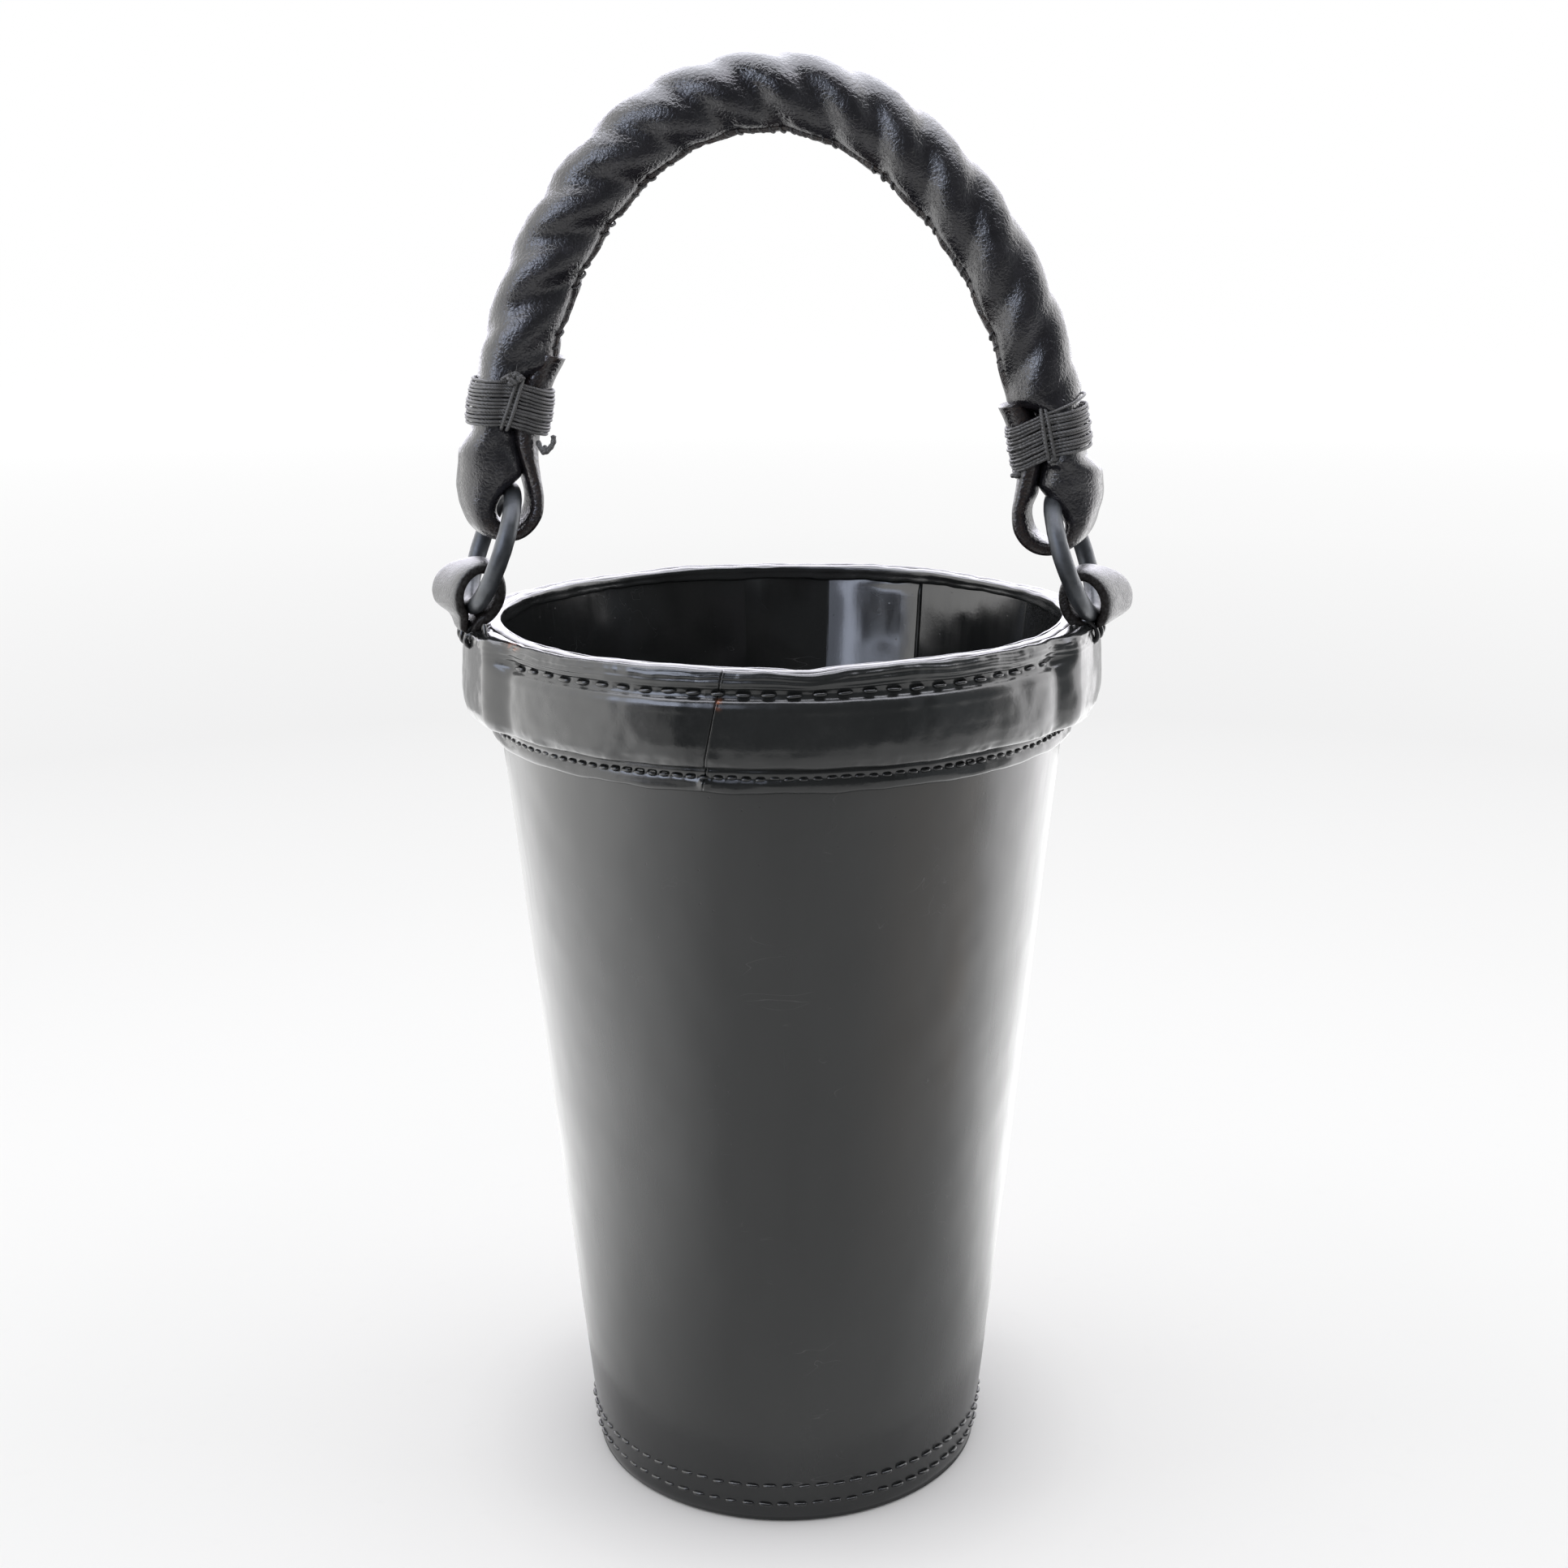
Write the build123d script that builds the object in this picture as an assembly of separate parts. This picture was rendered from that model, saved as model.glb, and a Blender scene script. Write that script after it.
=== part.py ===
from build123d import *
import math
import os

# Leather fire bucket with a bail handle. Millimetres, +Z up.
# Origin: centre of the circle that the bucket stands on. -Y is the front.

# Bucket wall: a cone of 4 mm leather, lapped and sewn at the back right.
RIM_HEIGHT = 305.0
BASE_RADIUS = 69.4
RIM_RADIUS = 99.2
WALL = 4.0
LAP_THICKNESS = 1.6
LAP_ANGLE = 59.0
LAP_WIDTH = 18.0

# Recessed base disc with a flange turned down inside the wall.
BASE_DISC_Z = 16.5
BASE_DISC_TOP = 20.0
FLANGE_BOTTOM = 1.5
FLANGE = 3.5

# Rim band folded over a filler cord, with a thin lining strip inside the mouth.
BAND_BOTTOM = 267.0
BAND = 2.8
LINING = 1.0
LINING_DEPTH = 4.5

# Iron rings: round links that stand in the tabs and lean inward.
RING_RADIUS = 19.7
WIRE_RADIUS = 2.9
RING_LEAN = 19.0
RING_YAW = 16.0
RING_LEFT = Vector(-94.0, -28.0, 331.3)
RING_RIGHT = Vector(95.0, -28.0, 327.5)

# Leather loops round the ring: the tab below it and the handle's end loop above it.
LOOP_WIDTH = 17.2
LOOP_HALF_X = 5.5
LOOP_HALF_Z = 7.75
LOOP_LEATHER = 3.0
LOOP_GAP = 0.4
LOOP_EDGE = 2.0

# Tab legs: two plies of the strap that run down under the band.
LEG_ANGLE = 5.7
LEG_FOOT_ANGLE = 12.0
LEG_FOOT_TOP = 296.0
LEG_BOTTOM = 277.5
LEG_DROP = 24.0
LEG_INNER = 98.5
LEG_OUTER = 104.3
TAB_LEFT_AZIMUTH = 195.3
TAB_RIGHT_AZIMUTH = -15.1
BULGE_ANGLE = 16.5

# Handle: leather tube over a rope core, along five tangent arcs.
HANDLE_Y = -28.0
HANDLE_RADIUS = 12.0
HANDLE_BORE = 8.5
CORE_RADIUS = 8.3
HANDLE_START = (-89.47, 349.31)
HANDLE_START_ANGLE = 87.15
HANDLE_ARCS = [(191.1, 20.52), (107.5, 28.13), (62.4, 74.92), (127.3, 36.64), (234.1, 10.77)]
END_CLEARANCE = 28.2

# Strap ends and thread whipping on each leg of the handle.
STRAP_THICKNESS = 3.2
STRAP_WIDTH = 16.0
STRAP_FLAT = 9.05
STRAP_FOOT = 4.0
STRAP_TOP = {-1: 44.0, 1: 28.0}
WHIP_THREAD = 1.4
WHIP_LENGTH = 17.5
WHIP_START = {-1: 18.0, 1: 8.0}

THREAD_RADIUS = 0.75


def wall_radius(z):
    return BASE_RADIUS + (RIM_RADIUS - BASE_RADIUS) * z / RIM_HEIGHT


def inner_radius(z):
    return wall_radius(z) - WALL


def turned(points, start=0.0, arc=360.0):
    section = make_face(Polyline([(r, 0, z) for r, z in points], close=True))
    body = revolve(section, Axis.Z, arc)
    return Rot(0, 0, start) * body


def on_circle(shape, radius, angle, z):
    return Rot(0, 0, angle) * Pos(radius, 0, z) * shape


def tangent_bar(length, radius=THREAD_RADIUS):
    return Rot(90, 0, 0) * Cylinder(radius, length)


def stitch_row(radius, z, count, length, gaps=()):
    bar = tangent_bar(length)
    bars = []
    for i in range(count):
        angle = 360.0 * (i + 0.5) / count
        if all(abs((angle - c + 180) % 360 - 180) > w for c, w in gaps):
            bars.append(on_circle(bar, radius, angle, z))
    return bars


def write(name, solids):
    if isinstance(solids, list):
        shape = Compound(children=solids)
    else:
        shape = solids
    shape.label = name
    export_step(shape, "parts/" + name + ".step")


# Wall, with the inner end of the sheet lapped at the back right.
def make_wall():
    profile = [
        (inner_radius(0), 0),
        (BASE_RADIUS, 0),
        (RIM_RADIUS, RIM_HEIGHT),
        (inner_radius(RIM_HEIGHT), RIM_HEIGHT),
    ]
    low, high = BASE_DISC_TOP + 1, RIM_HEIGHT - LINING_DEPTH - 1
    lap = [
        (inner_radius(low) - LAP_THICKNESS, low),
        (inner_radius(low) + 0.5, low),
        (inner_radius(high) + 0.5, high),
        (inner_radius(high) - LAP_THICKNESS, high),
    ]
    return turned(profile) + turned(lap, LAP_ANGLE, LAP_WIDTH)


def make_seam_stitches():
    lean = math.degrees(math.atan((RIM_RADIUS - BASE_RADIUS) / RIM_HEIGHT))
    bar = Rot(0, lean, 0) * Cylinder(THREAD_RADIUS, 4.8)
    bars = []
    for i in range(30):
        z = 29.5 + i * 7.6
        bars.append(on_circle(bar, wall_radius(z), LAP_ANGLE + 13, z))
        bars.append(on_circle(bar, inner_radius(z) - LAP_THICKNESS, LAP_ANGLE + 4, z))
    return bars


def make_base():
    profile = [
        (0, BASE_DISC_Z),
        (inner_radius(BASE_DISC_Z) - FLANGE, BASE_DISC_Z),
        (inner_radius(FLANGE_BOTTOM) - FLANGE, FLANGE_BOTTOM),
        (inner_radius(FLANGE_BOTTOM) - 0.02, FLANGE_BOTTOM),
        (inner_radius(BASE_DISC_TOP) - 0.02, BASE_DISC_TOP),
        (0, BASE_DISC_TOP),
    ]
    return turned(profile)


BAND_OUTER = [
    (98.4, 267.0),
    (98.9, 273.5),
    (101.2, 275.0),
    (103.0, 278.0),
    (103.6, 285.0),
    (103.2, 292.0),
    (102.3, 299.0),
    (102.1, 305.0),
]
BAND_INNER = [
    (wall_radius(305) + 0.03, 305.0),
    (wall_radius(298) + 0.03, 298.0),
    (100.4, 292.0),
    (100.8, 285.0),
    (100.2, 279.5),
    (98.3, 276.5),
    (wall_radius(274) + 0.03, 274.0),
    (wall_radius(267) + 0.03, 267.0),
]
BULGE = [
    (wall_radius(275) + 0.03, 275.0),
    (104.0, 275.4),
    (106.8, 278.0),
    (107.8, 284.0),
    (107.4, 296.0),
    (106.6, 305.0),
    (wall_radius(305) + 0.03, 305.0),
]


def leg(azimuth, ring, grow=0.0):
    top = ring.Z - LEG_DROP + grow
    bottom = LEG_BOTTOM - grow
    profile = [
        (LEG_INNER - grow, bottom),
        (LEG_OUTER + grow, bottom),
        (LEG_OUTER + grow, top),
        (LEG_INNER - grow + 1.1, top),
    ]
    spread = LEG_ANGLE + math.degrees(grow / LEG_OUTER)
    neck = turned(profile, azimuth - spread, 2 * spread)
    foot_top = LEG_FOOT_TOP + grow
    foot = [
        (LEG_INNER - grow, bottom),
        (LEG_OUTER + grow, bottom),
        (LEG_OUTER + grow, foot_top),
        (LEG_INNER - grow + 0.9, foot_top),
    ]
    spread = LEG_FOOT_ANGLE + math.degrees(grow / LEG_OUTER)
    return neck + turned(foot, azimuth - spread, 2 * spread)


def make_band():
    band = turned(BAND_OUTER + BAND_INNER)
    for azimuth in (TAB_LEFT_AZIMUTH, TAB_RIGHT_AZIMUTH):
        band = band + turned(BULGE, azimuth - BULGE_ANGLE, 2 * BULGE_ANGLE)
    band = band - leg(TAB_LEFT_AZIMUTH, RING_LEFT, 0.06) - leg(TAB_RIGHT_AZIMUTH, RING_RIGHT, 0.06)
    return band - on_left(loop_block(-1, 0.06)) - on_right(loop_block(-1, 0.06))


def make_filler():
    profile = [
        (wall_radius(277) + 0.1, 277.0),
        (99.9, 279.9),
        (100.6, 285.0),
        (100.2, 291.5),
        (wall_radius(297) + 0.1, 297.0),
    ]
    cut = BULGE_ANGLE + 0.3
    front = (TAB_LEFT_AZIMUTH + cut, TAB_RIGHT_AZIMUTH + 360 - cut)
    back = (TAB_RIGHT_AZIMUTH + cut, TAB_LEFT_AZIMUTH - cut)
    return [turned(profile, a, b - a) for a, b in (front, back)]


def make_lining():
    low = RIM_HEIGHT - LINING_DEPTH
    profile = [
        (inner_radius(low) - LINING, low),
        (inner_radius(low) - 0.02, low),
        (inner_radius(RIM_HEIGHT) - 0.02, RIM_HEIGHT),
        (inner_radius(RIM_HEIGHT) - LINING, RIM_HEIGHT),
    ]
    return turned(profile)


# Ring frame: local X is the inward normal, local Z runs up through the ring.
def ring_frame():
    lean, yaw = math.radians(RING_LEAN), math.radians(RING_YAW)
    along = Vector(math.sin(yaw), -math.cos(yaw), 0)
    up = Vector(math.sin(lean), 0, math.cos(lean))
    up = (up - along * up.dot(along)).normalized()
    normal = along.cross(up).normalized()
    if normal.X < 0:
        normal = normal * -1
    return Plane(origin=(0, 0, 0), x_dir=normal, z_dir=up)


RING_PLANE = ring_frame()


def on_left(shape):
    return Pos(RING_LEFT) * RING_PLANE.location * shape


def on_right(shape):
    return Pos(RING_RIGHT) * mirror(RING_PLANE.location * shape, about=Plane.YZ)


LOOP_CENTRE = RING_RADIUS + WIRE_RADIUS + LOOP_GAP - LOOP_HALF_Z


def loop_block(side, grow=0.0):
    half_x = LOOP_HALF_X + LOOP_LEATHER + grow
    half_z = LOOP_HALF_Z + LOOP_LEATHER + grow
    outer = SlotOverall(2 * half_z, 2 * half_x, 90)
    block = extrude(Plane.XZ * outer, LOOP_WIDTH / 2 + grow, both=True)
    return Pos(0, 0, side * LOOP_CENTRE) * block


def make_loop(side):
    hole = SlotOverall(2 * LOOP_HALF_Z, 2 * LOOP_HALF_X, 90)
    body = Pos(0, 0, -side * LOOP_CENTRE) * loop_block(side)
    bore = extrude(Plane.XZ * hole, LOOP_WIDTH, both=True)
    body = body - bore
    mouth = [
        e
        for e in body.edges()
        if abs(abs(e.center().Y) - LOOP_WIDTH / 2) < 0.01
        and abs(e.center().X) < LOOP_HALF_X + 0.1
        and e.length < 2.0 * math.pi * LOOP_HALF_X
        and max(abs(v.X) for v in e.vertices()) < LOOP_HALF_X + 0.1
    ]
    body = chamfer(mouth, LOOP_EDGE)
    return Pos(0, 0, side * LOOP_CENTRE) * body


def make_ring():
    return Rot(0, 90, 0) * Torus(RING_RADIUS, WIRE_RADIUS)


def make_tab(place, azimuth, ring):
    wall = turned([(0, 0), (wall_radius(0) + 0.03, 0), (RIM_RADIUS + 0.03, RIM_HEIGHT), (0, RIM_HEIGHT)])
    return place(make_loop(-1)) + leg(azimuth, ring) - wall


def make_tab_stitches(azimuth):
    bar = Cylinder(0.9, 7.0)
    return [on_circle(bar, 107.3, azimuth + a, 297.0) for a in (-4.2, 0.0, 4.2)]


# Handle path in the plane y = HANDLE_Y.
def handle_path():
    arcs = []
    point = Vector(HANDLE_START[0], HANDLE_Y, HANDLE_START[1])
    angle = math.radians(HANDLE_START_ANGLE)
    heading = Vector(math.cos(angle), 0, math.sin(angle))
    for radius, turn in HANDLE_ARCS:
        side = Vector(heading.Z, 0, -heading.X)
        centre = point + side * radius
        half = math.radians(turn) / 2
        full = math.radians(turn)

        def at(a):
            return centre - side * (radius * math.cos(a)) + heading * (radius * math.sin(a))

        middle, end = at(half), at(full)
        arcs.append(ThreePointArc(point, middle, end))
        heading = (heading * math.cos(full) + side * math.sin(full)).normalized()
        point = end
    return Wire(arcs)


PATH = handle_path()
PATH_LENGTH = PATH.length


def path_plane(distance):
    point = PATH.position_at(distance, position_mode=PositionMode.LENGTH)
    tangent = PATH.tangent_at(distance, position_mode=PositionMode.LENGTH)
    inner = Vector(tangent.Z, 0, -tangent.X)
    return Plane(origin=point, x_dir=inner, z_dir=tangent)


def tube(radius):
    return sweep(path_plane(0.0) * Circle(radius), path=PATH)


def end_ball(centre, extra=0.0):
    return Pos(centre) * Sphere(END_CLEARANCE + extra)


def clear_of_rings(shape, extra=0.0):
    return shape - end_ball(RING_LEFT, extra) - end_ball(RING_RIGHT, extra)


def leg_plane(side, distance):
    if side < 0:
        return path_plane(distance)
    return path_plane(PATH_LENGTH - distance)


def strap_block(side, face, reach, width, extra=0.0):
    length = STRAP_TOP[side] - STRAP_FOOT + extra
    middle = (STRAP_TOP[side] + STRAP_FOOT) / 2
    block = Box(reach - face, width, length, align=(Align.MIN, Align.CENTER, Align.CENTER))
    return leg_plane(side, middle).location * Pos(face, 0, 0) * block


def make_cover():
    cover = tube(HANDLE_RADIUS) - tube(HANDLE_BORE)
    for side in (-1, 1):
        cover = cover - strap_block(side, STRAP_FLAT, 20, 24, 2.0)
    return clear_of_rings(cover)


def make_core():
    return clear_of_rings(tube(CORE_RADIUS), 3.0)


def make_strap(side):
    face = STRAP_FLAT + 0.05
    strap = strap_block(side, face, face + STRAP_THICKNESS, STRAP_WIDTH)
    return clear_of_rings(strap - tube(CORE_RADIUS + 0.1))


def make_whipping(side, strap):
    face = STRAP_FLAT + 0.05 + STRAP_THICKNESS
    outline = Circle(HANDLE_RADIUS + WHIP_THREAD).edges() + (
        Pos(face / 2 + 2, 0) * Rectangle(face - 4 + 2 * WHIP_THREAD, STRAP_WIDTH + WHIP_THREAD)
    ).edges()
    section = make_hull(outline)
    middle = WHIP_START[side] + WHIP_LENGTH / 2
    coil = extrude(section, WHIP_LENGTH / 2, both=True)
    coil = leg_plane(side, middle).location * coil
    return coil - tube(HANDLE_RADIUS) - strap


def make_handle_stitches():
    bars = []
    first, last, pitch = 60.0, PATH_LENGTH - 60.0, 4.7
    count = int((last - first) / pitch)
    for i in range(count + 1):
        bar = Rot(0, 0, -28) * Pos(HANDLE_RADIUS, 0, 0) * Rot(90, 0, 0) * Cylinder(0.55, 4.6)
        bars.append(path_plane(first + i * pitch).location * bar)
    return bars


os.makedirs("parts", exist_ok=True)

write("body_wall", make_wall())
write("side_seam_stitches", make_seam_stitches())
write("base_disc", make_base())
write("base_stitches_lower", stitch_row(wall_radius(7.5), 7.5, 73, 3.9))
write("base_stitches_upper", stitch_row(wall_radius(14.7), 14.7, 74, 3.9))
write("rim_band", make_band())
write("rim_filler", make_filler())
write("rim_lining", make_lining())
tab_gaps = ((TAB_LEFT_AZIMUTH, BULGE_ANGLE + 1.5), (TAB_RIGHT_AZIMUTH, BULGE_ANGLE + 1.5))
write("rim_stitches", stitch_row(102.43, 298.0, 84, 4.8, tab_gaps))
write("band_stitches", stitch_row(98.75, 271.5, 144, 2.8))

write("left_ring", on_left(make_ring()))
write("right_ring", on_right(make_ring()))
write("left_tab", make_tab(on_left, TAB_LEFT_AZIMUTH, RING_LEFT))
write("right_tab", make_tab(on_right, TAB_RIGHT_AZIMUTH, RING_RIGHT))
write("left_tab_stitches", make_tab_stitches(TAB_LEFT_AZIMUTH))
write("right_tab_stitches", make_tab_stitches(TAB_RIGHT_AZIMUTH))
write("left_end_loop", on_left(make_loop(1)))
write("right_end_loop", on_right(make_loop(1)))

write("handle_cover", make_cover())
write("handle_core", make_core())
write("handle_seam_stitches", make_handle_stitches())
for side_name, side in (("left", -1), ("right", 1)):
    strap = make_strap(side)
    write(side_name + "_end_strap", strap)
    write(side_name + "_whipping", make_whipping(side, strap))
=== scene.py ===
import math

import bpy
import numpy as np
from mathutils import Matrix, Vector


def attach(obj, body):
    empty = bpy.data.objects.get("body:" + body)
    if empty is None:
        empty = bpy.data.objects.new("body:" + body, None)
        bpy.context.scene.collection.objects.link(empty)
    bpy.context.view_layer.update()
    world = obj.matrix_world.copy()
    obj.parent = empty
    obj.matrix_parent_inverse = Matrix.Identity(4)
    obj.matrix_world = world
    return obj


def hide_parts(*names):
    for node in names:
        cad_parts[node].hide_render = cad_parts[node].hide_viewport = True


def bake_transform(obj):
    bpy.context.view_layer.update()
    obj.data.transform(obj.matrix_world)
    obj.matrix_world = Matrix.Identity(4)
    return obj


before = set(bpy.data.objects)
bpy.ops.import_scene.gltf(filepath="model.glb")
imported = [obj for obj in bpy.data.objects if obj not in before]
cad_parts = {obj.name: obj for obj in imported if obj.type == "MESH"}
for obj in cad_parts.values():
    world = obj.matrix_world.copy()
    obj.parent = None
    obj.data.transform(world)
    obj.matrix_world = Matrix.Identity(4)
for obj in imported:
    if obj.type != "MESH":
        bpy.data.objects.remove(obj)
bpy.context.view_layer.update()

# Lengths are in millimetres in the CAD frame up to the floor and the lights, which are in metres.
# Angles round the bucket are in degrees from +X; the front is at -90.
rng = np.random.RandomState(11)
TAU = 2 * math.pi
UP = np.array([0.0, 0.0, 1.0])
SIDES = ("left", "right")

RIM_HEIGHT, BASE_RADIUS, RIM_RADIUS, WALL = 305.0, 69.4, 99.2, 4.0
WALL_LEAN = (RIM_RADIUS - BASE_RADIUS) / RIM_HEIGHT
RIM_ROW, RIM_STITCHES = 298.0, 84
BAND_ROW, BAND_STITCHES = 271.5, 144
TAB_AZIMUTH = {"left": 195.3, "right": -15.1}
RING_CENTRE = {"left": np.array([-94.0, -28.0, 331.3]), "right": np.array([95.0, -28.0, 327.5])}
TAB_DROP = 15.25  # from the centre of a ring to the middle of the bore that holds it
HANDLE_Y = -28.0
HANDLE_RADIUS = 12.0
HANDLE_SEAM = math.radians(-13.0)  # round the handle from its inner side towards the rear


def smooth(a, b, x):
    """0 up to a, 1 from b on, and an S-curve between."""
    t = np.clip((np.asarray(x, float) - a) / (b - a), 0, 1)
    return t * t * (3 - 2 * t)


def hump(x, width):
    """1 at x = 0, falling away as a bell curve."""
    return np.exp(-((x / width) ** 2))


# ---- smooth repeatable noise -------------------------------------------------
def lattice(i, j, k, seed):
    """Repeatable value from -1 to 1 for each whole-numbered point."""
    n = (i * 73856093) ^ (j * 19349663) ^ (k * 83492791) ^ (seed * 40503 + 977)
    n = n & 0xFFFFFFFF
    n = (((n >> 13) ^ n) * 1274126177) & 0xFFFFFFFF
    n = (((n >> 16) ^ n) * 668265263) & 0xFFFFFFFF
    return ((n >> 8) & 0xFFFF) / 32767.5 - 1.0


def noise(p, size, seed):
    """Soft noise from -1 to 1 with lumps about as wide as size."""
    q = np.asarray(p, float) / size
    b = np.floor(q).astype(np.int64)
    f = q - b
    f = f * f * (3 - 2 * f)
    total = 0.0
    for dx in (0, 1):
        wx = f[..., 0] if dx else 1 - f[..., 0]
        for dy in (0, 1):
            wy = f[..., 1] if dy else 1 - f[..., 1]
            for dz in (0, 1):
                wz = f[..., 2] if dz else 1 - f[..., 2]
                total = total + wx * wy * wz * lattice(b[..., 0] + dx, b[..., 1] + dy, b[..., 2] + dz, seed)
    return total


def fbm(p, size, octaves, seed):
    """Noise with finer and weaker noise on it."""
    total, gain = 0.0, 1.0
    for i in range(octaves):
        total = total + gain * noise(p, size / 2**i, seed + i)
        gain *= 0.5
    return total


# ---- mesh helpers ------------------------------------------------------------
def quads_of(rows, cols, wrap_rows=False, wrap_cols=True):
    """Faces of a grid of points, counted row by row."""
    r = np.arange(rows if wrap_rows else rows - 1)
    c = np.arange(cols if wrap_cols else cols - 1)
    r, c = np.meshgrid(r, c, indexing="ij")
    r2, c2 = (r + 1) % rows, (c + 1) % cols
    return np.stack([r * cols + c, r * cols + c2, r2 * cols + c2, r2 * cols + c], -1).reshape(-1, 4)


def end_fans(rows, cols):
    """Triangles that close both ends of a grid onto the two points that follow it."""
    k = np.arange(cols)
    k2 = (k + 1) % cols
    last = (rows - 1) * cols
    tip = np.full(cols, rows * cols)
    return np.concatenate([np.stack([k2, k, tip], -1), np.stack([last + k, last + k2, tip + 1], -1)])


class Parts:
    """Collects vertices, quads and triangles of one piece."""

    def __init__(self):
        self.v, self.q, self.t, self.n = [], [], [], 0

    def add(self, verts, quads, tris=None):
        verts = verts.reshape(-1, 3)
        self.q.append(quads + self.n)
        if tris is not None:
            self.t.append(tris + self.n)
        self.v.append(verts)
        self.n += len(verts)
        return self


def make(name, parts, material, body, replaces, tint=None, second=None):
    v = np.concatenate(parts.v)
    q = np.concatenate(parts.q)
    t = np.concatenate(parts.t) if parts.t else np.zeros((0, 3), int)
    # Faces that wind inward would give a negative volume.
    a, b, c, d = (v[q[:, i]] for i in range(4))
    volume = np.einsum("ij,ij->", np.cross(b - a, c - a), a) + np.einsum("ij,ij->", np.cross(c - a, d - a), a)
    if volume < 0:
        q, t = q[:, ::-1], t[:, ::-1]
    me = bpy.data.meshes.new(name)
    me.vertices.add(len(v))
    me.vertices.foreach_set("co", (v * 0.001).astype(np.float32).ravel())
    me.loops.add(q.size + t.size)
    me.loops.foreach_set("vertex_index", np.concatenate([q.ravel(), t.ravel()]).astype(np.int32))
    me.polygons.add(len(q) + len(t))
    starts = np.concatenate([np.arange(len(q)) * 4, q.size + np.arange(len(t)) * 3])
    me.polygons.foreach_set("loop_start", starts.astype(np.int32))
    me.update(calc_edges=True)
    me.validate()
    me.polygons.foreach_set("use_smooth", np.ones(len(me.polygons), bool))
    rest = me.attributes.new("rest", "FLOAT_VECTOR", "POINT")
    rest.data.foreach_set("vector", v.astype(np.float32).ravel())
    if tint is not None:
        layer = me.attributes.new("tint", "FLOAT", "POINT")
        layer.data.foreach_set("value", tint.astype(np.float32))
    me.materials.append(material)
    if second is not None:
        me.materials.append(second[0])
        me.polygons.foreach_set("material_index", second[1].astype(np.int32))
    obj = bpy.data.objects.new(name, me)
    bpy.context.scene.collection.objects.link(obj)
    if body:
        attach(obj, body)
    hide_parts(*replaces)
    return obj


def curve(control, n):
    """Smooth curve through control rows, at n even steps of chord length."""
    p = np.asarray(control, float)
    step = np.sqrt(((p[1:] - p[:-1]) ** 2).sum(1)) + 1e-9
    t = np.concatenate([[0], np.cumsum(step)])
    slope = (p[1:] - p[:-1]) / step[:, None]
    m = np.zeros_like(p)
    m[1:-1] = (slope[1:] * step[:-1, None] + slope[:-1] * step[1:, None]) / (step[1:] + step[:-1])[:, None]
    m[0], m[-1] = slope[0], slope[-1]
    x = np.linspace(0, t[-1], n)
    i = np.clip(np.searchsorted(t, x, side="right") - 1, 0, len(p) - 2)
    h = step[i][:, None]
    u = ((x - t[i]) / step[i])[:, None]
    return (
        (2 * u**3 - 3 * u**2 + 1) * p[i]
        + (u**3 - 2 * u**2 + u) * h * m[i]
        + (3 * u**2 - 2 * u**3) * p[i + 1]
        + (u**3 - u**2) * h * m[i + 1]
    )


def unit(v):
    return v / (np.linalg.norm(v, axis=-1, keepdims=True) + 1e-12)


def tube(points, radius, sides=8, closed=False):
    """Round tube along points; open ends are capped with a low dome."""
    p = np.asarray(points, float)
    n = len(p)
    t = unit(np.roll(p, -1, 0) - np.roll(p, 1, 0)) if closed else unit(np.gradient(p, axis=0))
    # Carry one direction along the line, so that the tube does not twist.
    side = np.array([0.31, 0.27, 0.91])
    frames = []
    for i in range(n):
        side = side - t[i] * (side @ t[i])
        side = side / (np.linalg.norm(side) + 1e-12)
        frames.append(side)
    e1 = np.array(frames)
    if closed:
        # Share out the twist that is left where the loop meets its start.
        last = e1[-1] - t[0] * (e1[-1] @ t[0])
        slip = math.atan2(np.cross(e1[0], last) @ t[0], e1[0] @ last)
        a = -slip * np.arange(n) / n
        e1 = e1 * np.cos(a)[:, None] + np.cross(t, e1) * np.sin(a)[:, None]
    e2 = np.cross(t, e1)
    r = np.broadcast_to(np.asarray(radius, float), (n,))
    a = np.arange(sides) * TAU / sides
    ring = e1[:, None] * np.cos(a)[None, :, None] + e2[:, None] * np.sin(a)[None, :, None]
    v = p[:, None] + ring * r[:, None, None]
    q = quads_of(n, sides, wrap_rows=closed)
    if closed:
        return v.reshape(-1, 3), q, None
    ends = np.stack([p[0] - t[0] * r[0] * 0.5, p[-1] + t[-1] * r[-1] * 0.5])
    return np.concatenate([v.reshape(-1, 3), ends]), q, end_fans(n, sides)


def stitch(parts, centre, along, normal, length, radius, lift=0.4):
    """One stitch: a short thread that dips into the leather at both ends."""
    t = np.linspace(-1, 1, 11)
    rise = radius * (lift - (lift + 1.0) * np.abs(t) ** 4)
    p = centre + unit(along) * (t * length / 2)[:, None] + unit(normal) * rise[:, None]
    parts.add(*tube(p, radius * (1 - 0.35 * t**4), 8))


def radial(angle):
    a = np.radians(angle)
    return np.stack([np.cos(a), np.sin(a), np.zeros_like(a)], -1)


def cylinder_points(r, angle, z):
    a = np.radians(angle)
    return np.stack([r * np.cos(a), r * np.sin(a), z + 0 * a], -1)


def spot(angle, radius, height):
    return radial(angle) * radius + UP * height


def sideways(out):
    """Level direction at right angles to out."""
    return np.array([-out[1], out[0], 0.0])


def around(angle, centre):
    """Angle from centre, from -180 to 180."""
    return (angle - centre + 180) % 360 - 180


# ---- materials ---------------------------------------------------------------
MIX_A, MIX_B, MIX_RESULT = 6, 7, 2  # the colour sockets of a Mix node


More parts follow.
